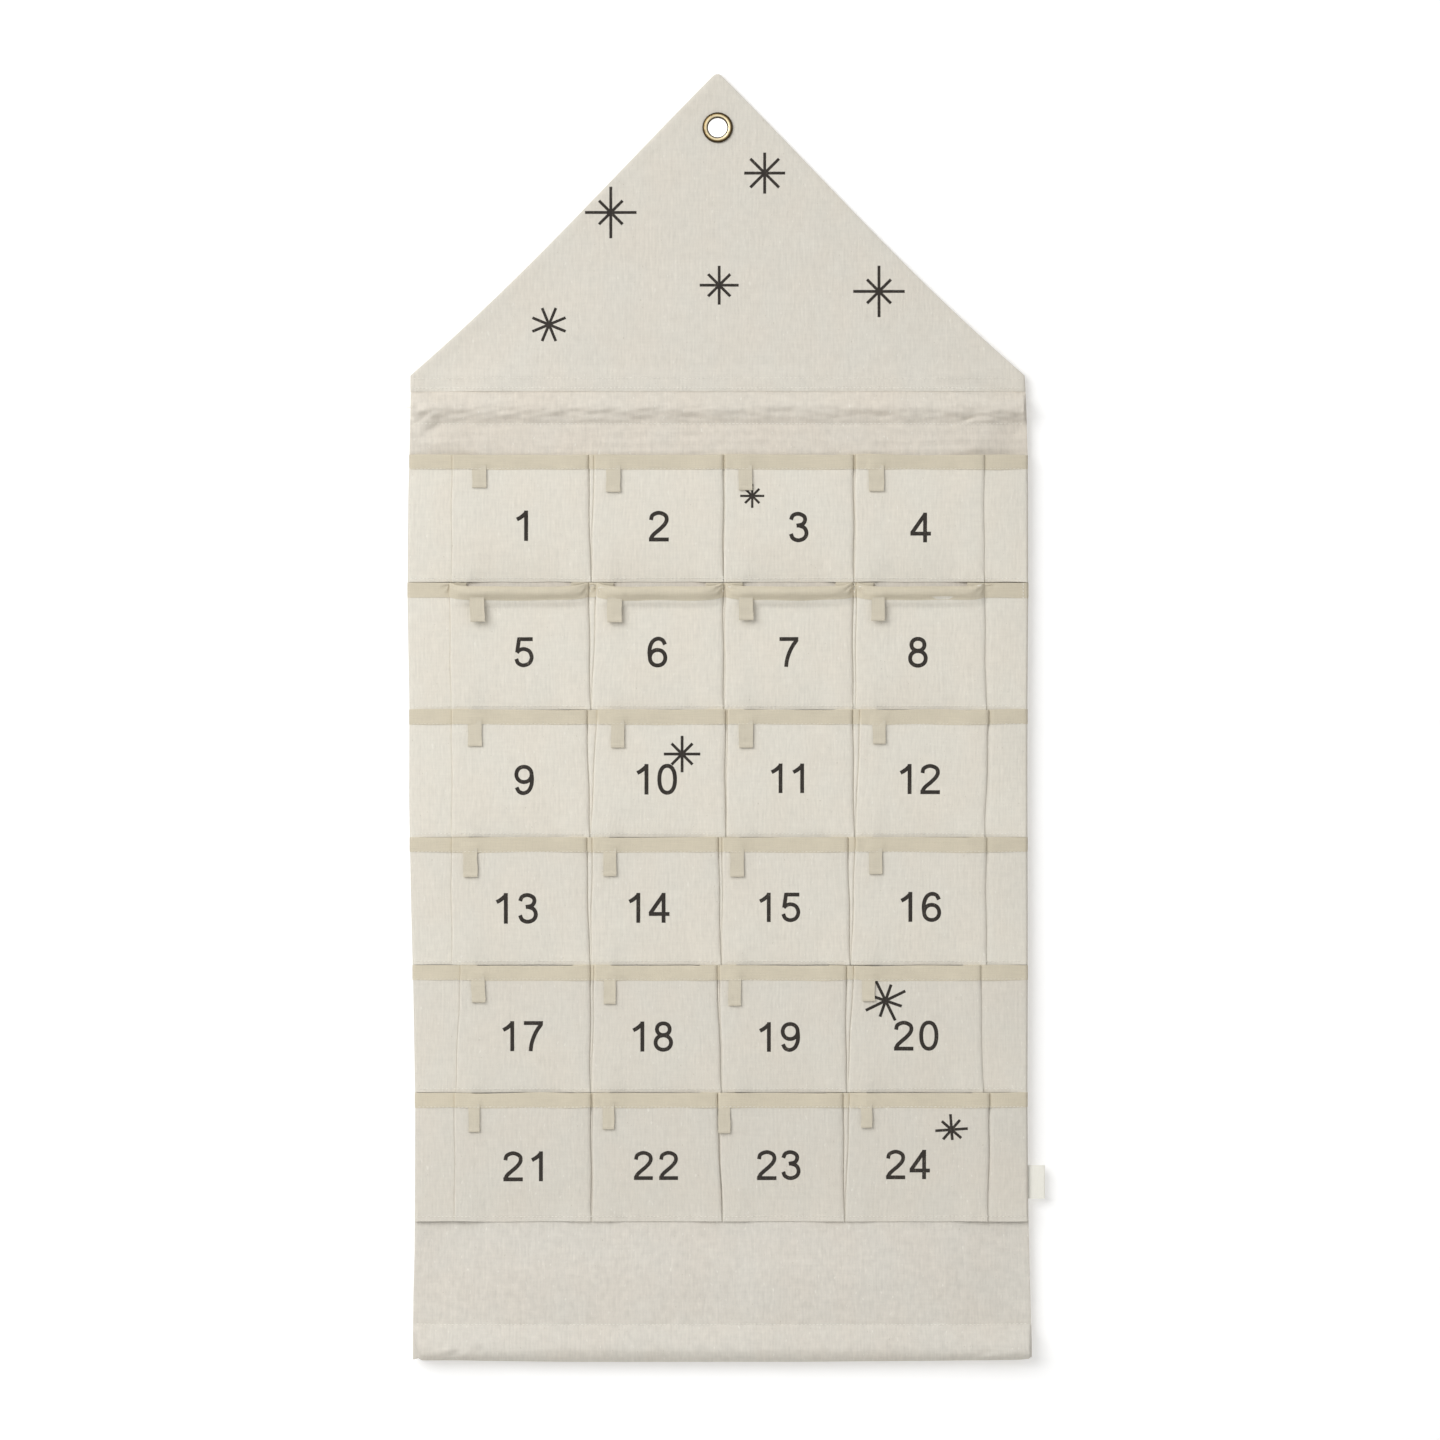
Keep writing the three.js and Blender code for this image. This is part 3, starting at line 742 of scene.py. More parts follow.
def sleeveCreases(x, z):
    # crumpled cloth under the upper dowel, a lobe past its left end and a crease at its right end
    stitch = panelPlan["sleeveStitch"]
    band = smooth(z, stitch, stitch + 4.5) * (1 - smooth(z, -209, -203))
    deep = panelPlan["crumple"] * band * (ripple(x, z, 31, 42, 9) + 0.6 * ripple(x, z, 32, 15, 7))
    light = 0.1 * smooth(z, -212, -205) * (1 - smooth(z, -199, -196)) * ripple(x, z, 36, 60, 12)
    flecks = 0.13 * smooth(z, -245, -238) * (1 - smooth(z, -224, stitch + 0.5)) * ripple(x, z, 33, 36, 9)
    seam = 0.3 * hump(z, stitch, 1.6)
    creaseZ = -205.5 + (x + 202) * 0.62
    left = hump(x, -214, 11) * smooth(z, stitch - 1.5, stitch + 2.5)
    fold = left * (0.5 * hump(z, creaseZ, 1.3) - 0.8 * hump(z, creaseZ + 5, 4))
    creaseZ = -216.2 + 1.2 * np.sin((x - 188) / 7) + 2.2 * hump(x, 193, 7)
    right = smooth(x, 176, 188) * (0.9 * hump(z, creaseZ, 1.1) - 0.6 * hump(z, creaseZ - 2.6, 1.8))
    return deep + light + flecks + seam + fold + right


def hemCreases(x, z, patternX):
    # the hem's seam with its puckers, and creases where the lower dowel ends
    stitch, bottom = dowels["hemStitchZ"], dowels["bottomZ"]
    seam = 0.28 * hump(z, stitch, 1.8)
    band = smooth(z, stitch - 16, stitch - 4) * (1 - smooth(z, stitch + 1, stitch + 12))
    pucker = 0.12 * band * ripple(x, z, 34, 26, 16)
    near = (1 - smooth(z, bottom + 2, bottom + 12)) * smooth(z, -912, -908)
    ends = hump(patternX, -196, 18) + hump(patternX, 203, 17)
    return seam + pucker + near * ends * (0.55 * ripple(x, z, 35, 20, 8) - 0.85)


# Roof facing, with its seam allowances showing as a soft ridge and its lower edge turned under

gablePlan = {
    "y": -1.35,
    "lapY": -1.95,
    "lowEdge": -195.5,
    "step": (-183.5, -176.5),
    "turnUnder": -186.4,
    "turnSize": 0.06,
    "pressed": 0.3,
    "seamAllowance": 7.6,
    "ridge": 0.2,
    "curl": 0.42,
    "wrinkle": 0.1,
    "eyeletCalm": (14, 34),
    "cutPlace": (1100, 60),
}


def buildGable():
    plan = gablePlan
    low, turn, reach = plan["lowEdge"], plan["turnUnder"], plan["seamAllowance"]
    lap = np.concatenate([[low], np.linspace(low + 0.6, house["eaves"], 10)[:-1]])
    levels = np.concatenate([lap, roofLevels(house["eaves"], 2.4)])
    patternX, z, away, x = houseGrid(spacedAcross(2.6), levels)
    lapped = 1 - smooth(z, *plan["step"])
    y = plan["y"] + (plan["lapY"] - plan["y"]) * lapped
    y = y - plan["turnSize"] * (1 - smooth(z, turn - 0.8, turn + 0.8))
    y = y + plan["pressed"] * (1 - smooth(z, low, low + 1.3))
    y = y - plan["ridge"] * (1 - smooth(away, reach - 1.4, reach + 1.4)) * smooth(away, 0, 3)
    y = y + edgeCurl(away, plan["curl"] + 0.6 * lapped) - standOff(z) * fromSides(away, z)
    folds = ripple(x, z, 41, 90, 60) + 0.8 * ripple(x, z, 42, 60, 16) * (1 - smooth(z, -182, -150))
    y = y + plan["wrinkle"] * folds * smooth(np.hypot(x, z), *plan["eyeletCalm"]) + sway(x, z)
    flat = laid(patternX + plan["cutPlace"][0], z + plan["cutPlace"][1])
    return clothPiece("gable_cloth", laid(x, y, z), flat, house["clothThickness"], roofLinen)


eyeletHole = {"radius": 8.0, "sides": 64, "through": 50}


def cutEyeletHole(piece):
    bpy.ops.object.select_all(action="DESELECT")
    size = {"radius": eyeletHole["radius"] * mm, "depth": eyeletHole["through"] * mm}
    bpy.ops.mesh.primitive_cylinder_add(vertices=eyeletHole["sides"], rotation=(math.radians(90), 0, 0), **size)
    punch = bpy.context.active_object
    makeActive(piece)
    cut = piece.modifiers.new("eyelet hole", "BOOLEAN")
    cut.operation = "DIFFERENCE"
    cut.object = punch
    bpy.ops.object.modifier_apply(modifier=cut.name)
    bpy.data.objects.remove(punch)
    while len(piece.data.materials) > 1:
        piece.data.materials.pop()


lining = buildLining()
body, bodyCut = buildBody()
gable = buildGable()
for cloth in (lining, gable):
    cutEyeletHole(cloth)
    soften(cloth)
for cloth, node, slot in (
    (lining, "back_lining", "lining_linen"),
    (body, "front_panel", "body_linen"),
    (gable, "gable_front", "roof_linen"),
):
    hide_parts(node)
    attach(cloth, "root")
print("lining, body and gable cloths made; body cut length", round(bodyCut, 1))


# Pocket rows

rows = {
    "firstMouth": -242.6,
    "pitch": 94.4167,
    "height": 93.2167,
    "bindingHeight": 11.0,
    "pleatDepth": 12.0,
    "cloth": 0.45,
    "seamFront": -6.2,
    "mouthFront": -8.6,
    "seamPitch": 0.6,
    "openPitch": 0.66,
    "mouthPitch": 0.96,
    "mouthBack": 1.0,
    "margin": 0.15,
    "edgeDepth": -4.7,
    "edgeTuck": 2.2,
    "tuckReach": 1.8,
    "edgeLean": 1.9,
    "proud": 0.12,
    "crease": 0.045,
    "seamDrop": 0.7,
    "lastSeamDrop": 1.8,
    "rightValley": 1.1,
    "leftValley": 0.62,
    "foldWander": 0.4,
    "sideSteps": np.array([0, 0.15, 0.4, 0.8, 1.3, 2.0, 3.0]),
    "faceSteps": np.array([0, 0.6, 1.4, 2.4, 3.6, 5.2, 7, 9.2]),
}
# Columns of each pocket's folds in the photograph: left one at the mouth and at the seam, then the right one
foldColumns = [
    [(453, 452, 588, 590.5), (594.8, 592, 722.6, 723), (725.5, 724, 853, 853), (856, 855, 984, 984)],
    [(450, 452, 588, 590), (597, 592, 722.8, 722.8), (726, 725, 852.4, 852.4), (857, 856, 984, 986)],
    [(452.4, 452.4, 586.6, 589.2), (598, 591, 725, 725), (728, 727, 851.8, 854), (860.5, 856, 988, 984.5)],
    [
        (452.4, 452.4, 586.2, 589.2), (593, 591.5, 717.8, 720.7),
        (722.8, 722.6, 847.4, 849.6), (856, 851.5, 985.8, 985.8),
    ],
    [(461, 456.7, 589.8, 589.8), (594.7, 592, 716.5, 720.8), (720, 722.8, 845.7, 845.7), (854.4, 848, 980, 983)],
    [
        (455.2, 455.2, 590.5, 590.5), (593.4, 592.6, 717, 721.6),
        (718.6, 723.4, 842.3, 844), (850, 845.8, 988.8, 987.4),
    ],
]
# How each row's mouths hang: how far the tape sags and leans out, and over what height below it
mouthShapes = [
    {"lift": 0.5, "sag": 0.3, "lean": 0.0, "reach": 30},
    {"lift": 0.0, "sag": 3.0, "lean": 6.6, "reach": 24, "fan": 0.6},
    {"lift": 0.7, "sag": 0.3, "lean": 0.15, "reach": 30},
    {"lift": 0.6, "sag": 0.2, "lean": 0.0, "reach": 30},
    {"lift": 0.4, "sag": 0.4, "lean": 0.2, "reach": 30},
    {"lift": 0.4, "sag": 0.25, "lean": 0.2, "reach": 30},
]
# Left column, right column and lower line of each hanging tape loop
tabs = [
    [(472, 487, 488), (606, 621, 492.3), (738.4, 752.7, 490.5), (868.5, 884.4, 491.6)],
    [(470, 485.2, 621.9), (607, 622.5, 622.4), (738.6, 753.8, 620.3), (871, 885, 621)],
    [(468, 482.6, 746.3), (611, 625, 747.8), (738.6, 753.6, 747.8), (872.4, 886, 743.9)],
    [(463.3, 478.3, 877), (603.3, 617, 876), (730, 744.2, 876.8), (868.7, 882.8, 874.2)],
    [(471, 485.3, 1002.3), (603.7, 616.5, 1003.8), (728.2, 741.6, 1005.6), (861.8, 875.2, 1001)],
    [(468.5, 480.6, 1131.7), (602.6, 615, 1129), (717.9, 730.8, 1132.8), (860.7, 872.6, 1127.5)],
]
# Where each strip, binding and loop lies on its cloth: steps from one to the next, and the strips' start
cutPlan = {"strip": (130, 97), "stripStart": 1300, "binding": (90, 30), "loop": 23}
bindingPlan = {"tape": 0.2, "gap": 0.03, "tabBulge": 0.6, "uneven": 0.2, "pressed": 0.78}
bindingOuter = rows["cloth"] / 2 + bindingPlan["gap"] + bindingPlan["tape"]
bindingMiddle = bindingOuter - bindingPlan["tape"] / 2
bindingShare = 1 - rows["bindingHeight"] / rows["height"]


def mouthAt(row):
    return rows["firstMouth"] - rows["pitch"] * row


def layerDepths(share):
    # rear, middle and front layer of the pleats, thicker where the tape is folded over the edge
    front = rows["seamFront"] + (rows["mouthFront"] - rows["seamFront"]) * share**0.9
    pitch = rows["seamPitch"] + (rows["openPitch"] - rows["seamPitch"]) * smooth(share, 0, 0.3)
    pitch = pitch + (rows["mouthPitch"] - rows["openPitch"]) * smooth(share, bindingShare - 0.1, bindingShare - 0.01)
    return front + 2 * pitch, front + pitch, front


def marginDepth(x, edgeX, foldX, rear):
    # the plain ends of a strip lean out from the side seam to the first pleat
    share = np.clip((x - edgeX) / (foldX - edgeX), 0, 1)
    closing = np.clip(1 - np.abs(x - edgeX) / rows["tuckReach"], 0, 1)
    tuck = rows["edgeTuck"] * (1 - np.sqrt(1 - 0.97 * closing**2))
    return rows["edgeDepth"] + (rear - rows["edgeDepth"]) * (1 - (1 - share) ** rows["edgeLean"]) + tuck


def foldAt(row, number, side, share):
    # the folds wander a little on their way down
    top, low = foldColumns[row][number][2 * side : 2 * side + 2]
    wander = rows["foldWander"] * math.sin(math.pi * share) * math.sin(8 * share + 2.1 * row + 1.7 * number + side)
    return photoX(low + (top - low) * share) + wander


def valleys(row, share, x):
    # the whole pleat stack dips softly where one pocket ends and at the next one's first fold
    total = 0 * x
    for number in range(4):
        away = x - foldAt(row, number, 1, share) - 0.2
        total = total + rows["rightValley"] * np.exp(-(np.abs(away / np.where(away < 0, 1.2, 0.9)) ** 1.5))
        deep = rows["leftValley"] * (0.45 if number == 0 else 1)
        total = total + deep * hump(x, foldAt(row, number, 0, share) - 0.25, 0.6)
    return total * smooth(share, 0, 0.12)


def stripSection(row, share):
    # plan of one pleated strip at one height, left to right, with each point's distance inside a pocket face
    rear, middle, front = layerDepths(share)
    radius = (rear - middle) / 2
    flattened = 1 - smooth(share, 0, 0.32)
    depth = rows["pleatDepth"]
    z = mouthAt(row) - rows["height"] * (1 - share)
    startX, endX = (float(hungX(side * house["halfWidth"], z)) - side * rows["margin"] for side in (-1, 1))
    points, inside, pocket = [], [], []

    def add(places, within=None, number=-1):
        points.extend(places)
        inside.extend(np.zeros(len(places)) if within is None else within)
        pocket.extend([number] * len(places))

    def addTurn(centreX, depths, fromAngle, toAngle):
        add(arcPoints(centreX, sum(depths) / 2, radius, radius, fromAngle, toAngle, 7)[1:-1])

    cursor = startX
    for number in range(4):
        left, right = (foldAt(row, number, side, share) for side in (0, 1))
        inner = left + depth - radius
        if number == 0:
            near = startX + rows["sideSteps"]
            spans = [near, np.linspace(near[-1] + 2, left - 3, 11), np.linspace(left - 2.2, left + 0.9, 11)]
            rearX = np.concatenate([*spans, np.linspace(left + 2, inner, 5)])
            rearY = marginDepth(rearX, startX, left, rear)
        else:
            spans = [np.linspace(cursor, before - 1.6, 5), np.linspace(before - 1, left + 0.9, 14)]
            rearX = np.concatenate([*spans, np.linspace(left + 2, inner, 5)])
            gap = max(left - before, 0.2)
            rearY = rear - min(0.1 * gap, 0.3) * hump(rearX, (left + before) / 2, gap * 0.6)
        add(list(zip(rearX, rearY)))
        addTurn(inner, (rear, middle), 90, -90)
        add([(x, middle) for x in np.linspace(inner, left + radius, 5)])
        addTurn(left + radius, (middle, front), 90, 270)
        edge = rows["faceSteps"]
        width = right - left - 2 * radius
        within = np.concatenate([edge, np.linspace(11.6, width - 11.6, 31), width - edge[::-1]])
        nearest = np.minimum(within, width - within)
        out = rows["proud"] * (1 - flattened) * smooth(nearest, 0.5, 9)
        back = 2 * rows["seamPitch"] * flattened * smooth(nearest, depth - 1, depth + 12)
        back = back + rows["mouthBack"] * smooth(share, 0.6, 1) * smooth(nearest, depth - 1, depth + 14)
        add(list(zip(left + radius + within, front - out + back)), nearest, number)
        inner = right - depth + radius
        addTurn(right - radius, (middle, front), -90, 90)
        add([(x, middle) for x in np.linspace(right - radius, inner, 5)])
        addTurn(inner, (rear, middle), 270, 90)
        cursor, before = inner, right
    near = endX - rows["sideSteps"][::-1]
    rearX = np.concatenate([np.linspace(cursor, near[0] - 2, 16), near])
    add(list(zip(rearX, marginDepth(rearX, endX, before, rear))))
    plan = np.array(points)
    plan[:, 1] += valleys(row, share, plan[:, 0])
    return plan, np.array(inside), np.array(pocket)


def planNormals(points):
    step = np.gradient(points, axis=0)
    step = step / np.linalg.norm(step, axis=1, keepdims=True)
    return np.stack([step[:, 1], -step[:, 0]], axis=1)


def cornerFans(row, x, z):
    # wrinkles that spread from the upper corners of each pocket
    total = 0 * x
    for number in range(4):
        for side in (0, 1):
            across, down = x - foldAt(row, number, side, 1), z - mouthAt(row) + 1
            turn = np.arctan2(down, across * (1 - 2 * side))
            total = total + np.sin(8 * turn + number + side) * hump(np.hypot(across, down), 5, 3.2)
    return total


def settle(row, points, inside, height):
    # gives a strip or its binding the row's own sag, roll and creases; height runs from the seam
    shape, top = mouthShapes[row], rows["height"]
    below = top - height
    onFace = 1 - np.exp(-inside / 6.0)
    moved = points.copy()
    x, z = points[..., 0], points[..., 2]
    moved[..., 2] += shape["lift"] * smooth(height, top - 40, top)
    moved[..., 2] -= shape["sag"] * onFace * smooth(height, top - shape["reach"], top - 4)
    roll = 0.45 + 0.55 * smooth(below, -1, 3.2) - 0.55 * smooth(below, 4.5, 11) - 0.45 * smooth(below, 11, 19)
    moved[..., 1] -= shape["lean"] * onFace * roll * (1 + 0.12 * ripple(x, z, 45 + row, 60, 90))
    if "fan" in shape:
        moved[..., 1] -= shape["fan"] * cornerFans(row, x, z)
    crease = ripple(x + 40 * row, z, 51 + row, 34, 80) + 0.6 * ripple(x, z, 61 + row, 70, 30)
    moved[..., 1] -= rows["crease"] * crease * onFace * smooth(height, 0, 14)
    seam = 1 - smooth(height, 1, 12)
    moved[..., 2] -= rows["lastSeamDrop" if row == 5 else "seamDrop"] * seam
    moved[..., 2] += 0.1 * seam * ripple(x, 0 * z, 75 + row, 48, 48)
    moved[..., 1] += 0.05 * ripple(x, z, 71 + row, 9, 12) * seam
    moved[..., 2] += 0.2 * smooth(height, top - 14, top) * ripple(x, 0 * z, 85 + row, 70, 70)
    moved[..., 1] += sway(x, z)
    return moved


def sectionRun(row):
    points, _, _ = stripSection(row, 0.7)
    return runAlong(*points.T)


def buildStrip(row):
    top = rows["height"] - bindingPlan["gap"] - bindingPlan["tape"]
    heights = np.concatenate([[0, 0.7, 1.6, 2.8, 4.2], np.linspace(6, 60, 20)[:-1], np.linspace(60, top, 24)])
    lines = []
    for height in heights:
        section, inside, _ = stripSection(row, height / rows["height"])
        level = np.full(len(section), mouthAt(row) - rows["height"] + height)
        lines.append(settle(row, np.column_stack([section, level]), inside, height))
    run = sectionRun(row)
    stepAcross, stepUp = cutPlan["strip"]
    flat = laid(run[None, :] + stepAcross * row, heights[:, None] + cutPlan["stripStart"] + stepUp * row)
    piece = clothPiece(f"pockets_{row + 1}", np.stack(lines), flat, rows["cloth"], pocketLinen)
    return piece, float(run[-1])


def tabRise(row, x, pocket):
    # the binding stands out a little over the tape loops sewn in under it
    total = np.zeros(len(x))
    for number, (left, right, _) in enumerate(tabs[row]):
        low, high = photoX(left), photoX(right)
        over = smooth(x, low - 0.9, low + 0.3) * (1 - smooth(x, high - 0.3, high + 0.9))
        total = np.maximum(total, over * (pocket == number))
    return total


def buildBinding(row):
    section, inside, pocket = stripSection(row, 1.0)
    normals = planNormals(section)
    over = tabRise(row, section[:, 0], pocket)
    lowest, crown = -rows["bindingHeight"], -bindingOuter
    leaf = np.array([lowest, lowest + 0.5, -9.4, -8.2, -7.0, -5.8, -4.6, -3.4, -2.2, -1.3, crown])
    turn = np.radians(np.linspace(0, 180, 8))[1:-1]
    face = np.full(len(leaf), bindingMiddle)
    offsets = np.concatenate([face, bindingMiddle * np.cos(turn), -face])
    drops = np.concatenate([leaf, crown + bindingMiddle * np.sin(turn), leaf[::-1]])
    offsets = offsets * np.where(np.abs(drops - lowest) < 0.7, bindingPlan["pressed"], 1.0)
    lines = []
    for offset, drop in zip(offsets, drops):
        line = np.column_stack([section + normals * offset, np.full(len(section), mouthAt(row) + drop)])
        if offset > 0:
            line[:, 1] -= over * bindingPlan["tabBulge"] * (1 - smooth(drop, -6, -2.5))
        if drop < -7:
            line[:, 2] += bindingPlan["uneven"] * ripple(section[:, 0], 0 * drop, 81 + row, 60, 60)
        lines.append(settle(row, line, inside, rows["height"] + drop))
    run = sectionRun(row)
    across = runAlong(offsets, drops)
    stepAcross, stepUp = cutPlan["binding"]
    flat = laid(run[None, :] + stepAcross * row, across[:, None] + stepUp * row)
    piece = clothPiece(f"binding_{row + 1}", np.stack(lines), flat, bindingPlan["tape"], cottonTape)
    return piece, float(across[-1])


strips = []
bindings = []
for row in range(6):
    strip, stripCut = buildStrip(row)
    binding, tapeCut = buildBinding(row)
    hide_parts(f"pocket_row_{row + 1}")
    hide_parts(f"pocket_binding_{row + 1}")
    for piece in (strip, binding):
        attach(piece, "root")
    strips.append(strip)
    bindings.append(binding)
print("pocket rows made; strip cut", round(stripCut, 1), "tape cut", round(tapeCut, 1))

stripSurface = surfaceOf(*strips)


# Tape loops hanging below the bindings

tabPlan = {
    "below": 0.3,
    "tape": 0.32,
    "leafGap": 0.36,
    "rootHeight": 3.4,
    "shortRoots": {22: 0.3},
    "eye": 0.2475,
    "lie": 0.32,
    "settle": 0.35,
    "tilt": {16: 1.5, 0: 0.4, 4: 0.9},
    "across": 9,
    "offSurface": -9.3,
    "blendReach": 1.2,
}


def buildTab(row, column):
    number = row * 4 + column
    leftColumn, rightColumn, lowLine = tabs[row][column]
    left, right, low = photoX(leftColumn + 0.3), photoX(rightColumn - 0.6), photoZ(lowLine)
    middle = (left + right) / 2
    hangs = mouthShapes[row]["lift"] - mouthShapes[row]["sag"]
    hingeZ = mouthAt(row) - rows["bindingHeight"] - tabPlan["below"] + hangs

    def behind(levels):
        return np.array([depthAt(stripSurface, middle, z, tabPlan["offSurface"]) for z in levels]) - tabPlan["lie"]

    root = tabPlan["shortRoots"].get(number, tabPlan["rootHeight"])
    heights = np.concatenate([np.linspace(hingeZ + root, low + 3.4, 18), [low + 2.4, low + 1.5, low + 0.8]])
    swell = tabPlan["leafGap"] / 2 + tabPlan["eye"] * hump(heights, low + 1.6, 1.2)
    centre = np.minimum(behind(np.linspace(hingeZ + 3, hingeZ - 1, 9)).min(), behind(heights)) - swell
    centre = centre - tabPlan["settle"] * smooth(-heights, -(hingeZ + 0.5), -(hingeZ - 4))
    radius = swell[-1]
    bend = np.radians(np.linspace(0, 180, 8))[1:-1]
    endZ = low + radius + tabPlan["tape"] / 2 - radius * np.sin(bend)
    y = np.concatenate([centre - swell, centre[-1] - radius * np.cos(bend), (centre + swell)[::-1]])
    z = np.concatenate([heights, endZ, heights[::-1]])
    run = runAlong(y, z)
    across = np.linspace(left, right, tabPlan["across"])[None, :]
    y, z = y[:, None], z[:, None]
    x = across + tabPlan["tilt"].get(number, 0.0) * smooth(-z, -hingeZ, -low) * 0.5
    x = x + 0.12 * ripple(z, across, 900 + number, 18, 18)
    bow = 0.1 * ripple(across, z, 940 + number, 16, 22) * smooth(-z, -hingeZ, -hingeZ + 6)
    # rows run down the front leaf and up the rear one, so they are turned over to face outwards
    grid = laid(x, y - np.abs(bow), z)[::-1]
    flat = laid(run[:, None] + cutPlan["loop"] * number, across - left)
    piece = clothPiece(f"tape_loop_{number + 1:02d}", grid, flat, tabPlan["tape"], loopTape)
    node = f"loop_{number + 1:02d}"
    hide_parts(node)
    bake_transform(piece)
    width = max(right - left, 10.0)
    width * mm
    return float(run[-1])


tabLengths = [buildTab(row, column) for row in range(6) for column in range(4)]
print("tape loops made, cut", round(min(tabLengths), 1), "to", round(max(tabLengths), 1))


# Folded label in the right side seam, bare

labelPlan = {
    "rightColumn": 1045,
    "lines": (1165.5, 1199),
    "thickness": 0.45,
    "root": 4.0,
    "depth": -0.85,
    "lift": 0.35,
    "blend": (0.6, 1.4),
}


def buildLabel():
    upper, lower = (photoZ(line) for line in labelPlan["lines"])
    reach = photoX(labelPlan["rightColumn"])
    seam = float(hungX(house["halfWidth"], (upper + lower) / 2))
    along = np.linspace(seam - labelPlan["root"], reach - 0.5, 16)
    half = 0.26 + 0.1 * smooth(along, seam, seam + 6)
    bend = np.radians(np.linspace(-90, 90, 7))[1:-1]
    x = np.concatenate([along, along[-1] + half[-1] * np.cos(bend), along[::-1]])
    y = np.concatenate([-half, half[-1] * np.sin(bend), half[::-1]]) + labelPlan["depth"]
    rise = np.linspace(0, upper - lower, 13)[:, None]
    lift = labelPlan["lift"] * smooth(x, seam + 2, reach) * np.sin(rise / 9)
    run = runAlong(x, y)
    grid, flat = laid(x, y - lift, lower + rise), laid(run, rise)
    piece = clothPiece("side_label_tape", grid, flat, labelPlan["thickness"], labelTape)
    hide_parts("side_label")
    pivot = Vector((seam, labelPlan["depth"], (upper + lower) / 2)) * mm
    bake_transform(piece)
    (upper - lower) * mm


buildLabel()
print("label made")


# Brass eyelet and its washer, each a section extruded point by point and spun round the bore

eyeletPlan = {
    "bore": 7.1,
    "flange": 11.3,
    "seat": -2.0,
    "rise": 1.55,
    "wall": 0.6,
    "lipRadius": 9.4,
    "lipSeat": 1.0,
    "lipTop": 1.8,
    "steps": 96,
}
washerPlan = {"inner": 8.0, "outer": 11.0, "near": 0.32, "far": 0.68, "round": 0.12}


def spunPiece(name, section, steps, finish):
    bpy.ops.object.select_all(action="DESELECT")
    bpy.ops.mesh.primitive_plane_add(size=0.001)
    piece = bpy.context.active_object
    piece.name = name
    piece.data.name = name
    bpy.ops.object.mode_set(mode="EDIT")
    bpy.ops.mesh.select_all(action="SELECT")
    bpy.ops.mesh.merge(type="CENTER")
    points = [Vector((x * mm, y * mm, 0)) for x, y in section]
    bpy.ops.transform.translate(value=points[0])
    for before, after in zip(points, points[1:] + points[:1]):
        bpy.ops.mesh.extrude_region_move(TRANSFORM_OT_translate={"value": after - before})
    bpy.ops.mesh.select_all(action="SELECT")
    bpy.ops.mesh.remove_doubles(threshold=0.000001)
    bpy.ops.mesh.spin(steps=steps, angle=math.tau, center=(0, 0, 0), axis=(0, 1, 0))
    bpy.ops.mesh.select_all(action="SELECT")
    bpy.ops.mesh.remove_doubles(threshold=0.000001)
    bpy.ops.mesh.normals_make_consistent(inside=False)
    bpy.ops.object.mode_set(mode="OBJECT")
    piece.data.materials.clear()
    piece.data.materials.append(finish)
    soften(piece, 50)
    return piece


def buildEyelet():
    plan = eyeletPlan
    bore, barrel, flange = plan["bore"], plan["bore"] + plan["wall"], plan["flange"]
    crownX, seat, rise = bore + 1.75, plan["seat"], plan["rise"]
    section = arcPoints(crownX, seat - 0.55, crownX - bore, rise, 180, 270, 9)
    section += arcPoints(crownX + 0.35, seat - 0.55, flange - crownX - 0.35, rise, 270, 350, 10)
    section += [(flange, seat - 0.25), (flange - 0.15, seat), (barrel, seat), (barrel, plan["lipSeat"])]
    half = (plan["lipTop"] - plan["lipSeat"]) / 2
    section += arcPoints(plan["lipRadius"] - half, plan["lipSeat"] + half, half, half, -90, 90, 8)
    section += arcPoints(barrel + 0.3, plan["lipTop"] - 0.9, barrel + 0.3 - bore, 0.9, 90, 180, 7)
    return spunPiece("brass_eyelet", section, plan["steps"], antiqueBrass)


def buildWasher():
    inner, outer, near, far, rim = (washerPlan[key] for key in ("inner", "outer", "near", "far", "round"))
    section = [(inner + rim, near), (outer - rim, near), (outer, near + rim), (outer, far - rim)]
    section += [(outer - rim, far), (inner + rim, far), (inner, far - rim), (inner, near + rim)]
    return spunPiece("brass_washer", section, eyeletPlan["steps"], antiqueBrass)


for piece, node in ((buildEyelet(), "eyelet"), (buildWasher(), "eyelet_washer")):
    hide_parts(node)
    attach(piece, "root")
for node in ("top_dowel", "bottom_dowel"):
    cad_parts[node].data.materials.clear()
    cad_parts[node].data.materials.append(bareWood)
print("eyelet and washer made")


# Printed numerals, drawn as strokes in thousandths of a numeral's height

strokeShare = 0.13
figureWidth = 0.758


def ringPoints(centreX, centreY, radiusX, radiusY, power):
    angles = np.linspace(0, math.tau, 73)[:-1]
    cosine, sine = np.cos(angles), np.sin(angles)
    x = centreX + radiusX * np.sign(cosine) * np.abs(cosine) ** (2 / power)
    y = centreY + radiusY * np.sign(sine) * np.abs(sine) ** (2 / power)
    return np.stack([x, y], axis=1)


def smoothLine(given):
    ends = np.concatenate([[2 * given[0] - given[1]], given, [2 * given[-1] - given[-2]]])
    line = []
    for k in range(1, len(ends) - 2):
        a, b, c, d = ends[k - 1 : k + 3]
        for t in np.linspace(0, 1, 9)[:-1]:
            bend = (2 * a - 5 * b + 4 * c - d) * t**2 + (3 * b - a - 3 * c + d) * t**3
            line.append(0.5 * (2 * b + (c - a) * t + bend))
    return np.array([*line, given[-1]])


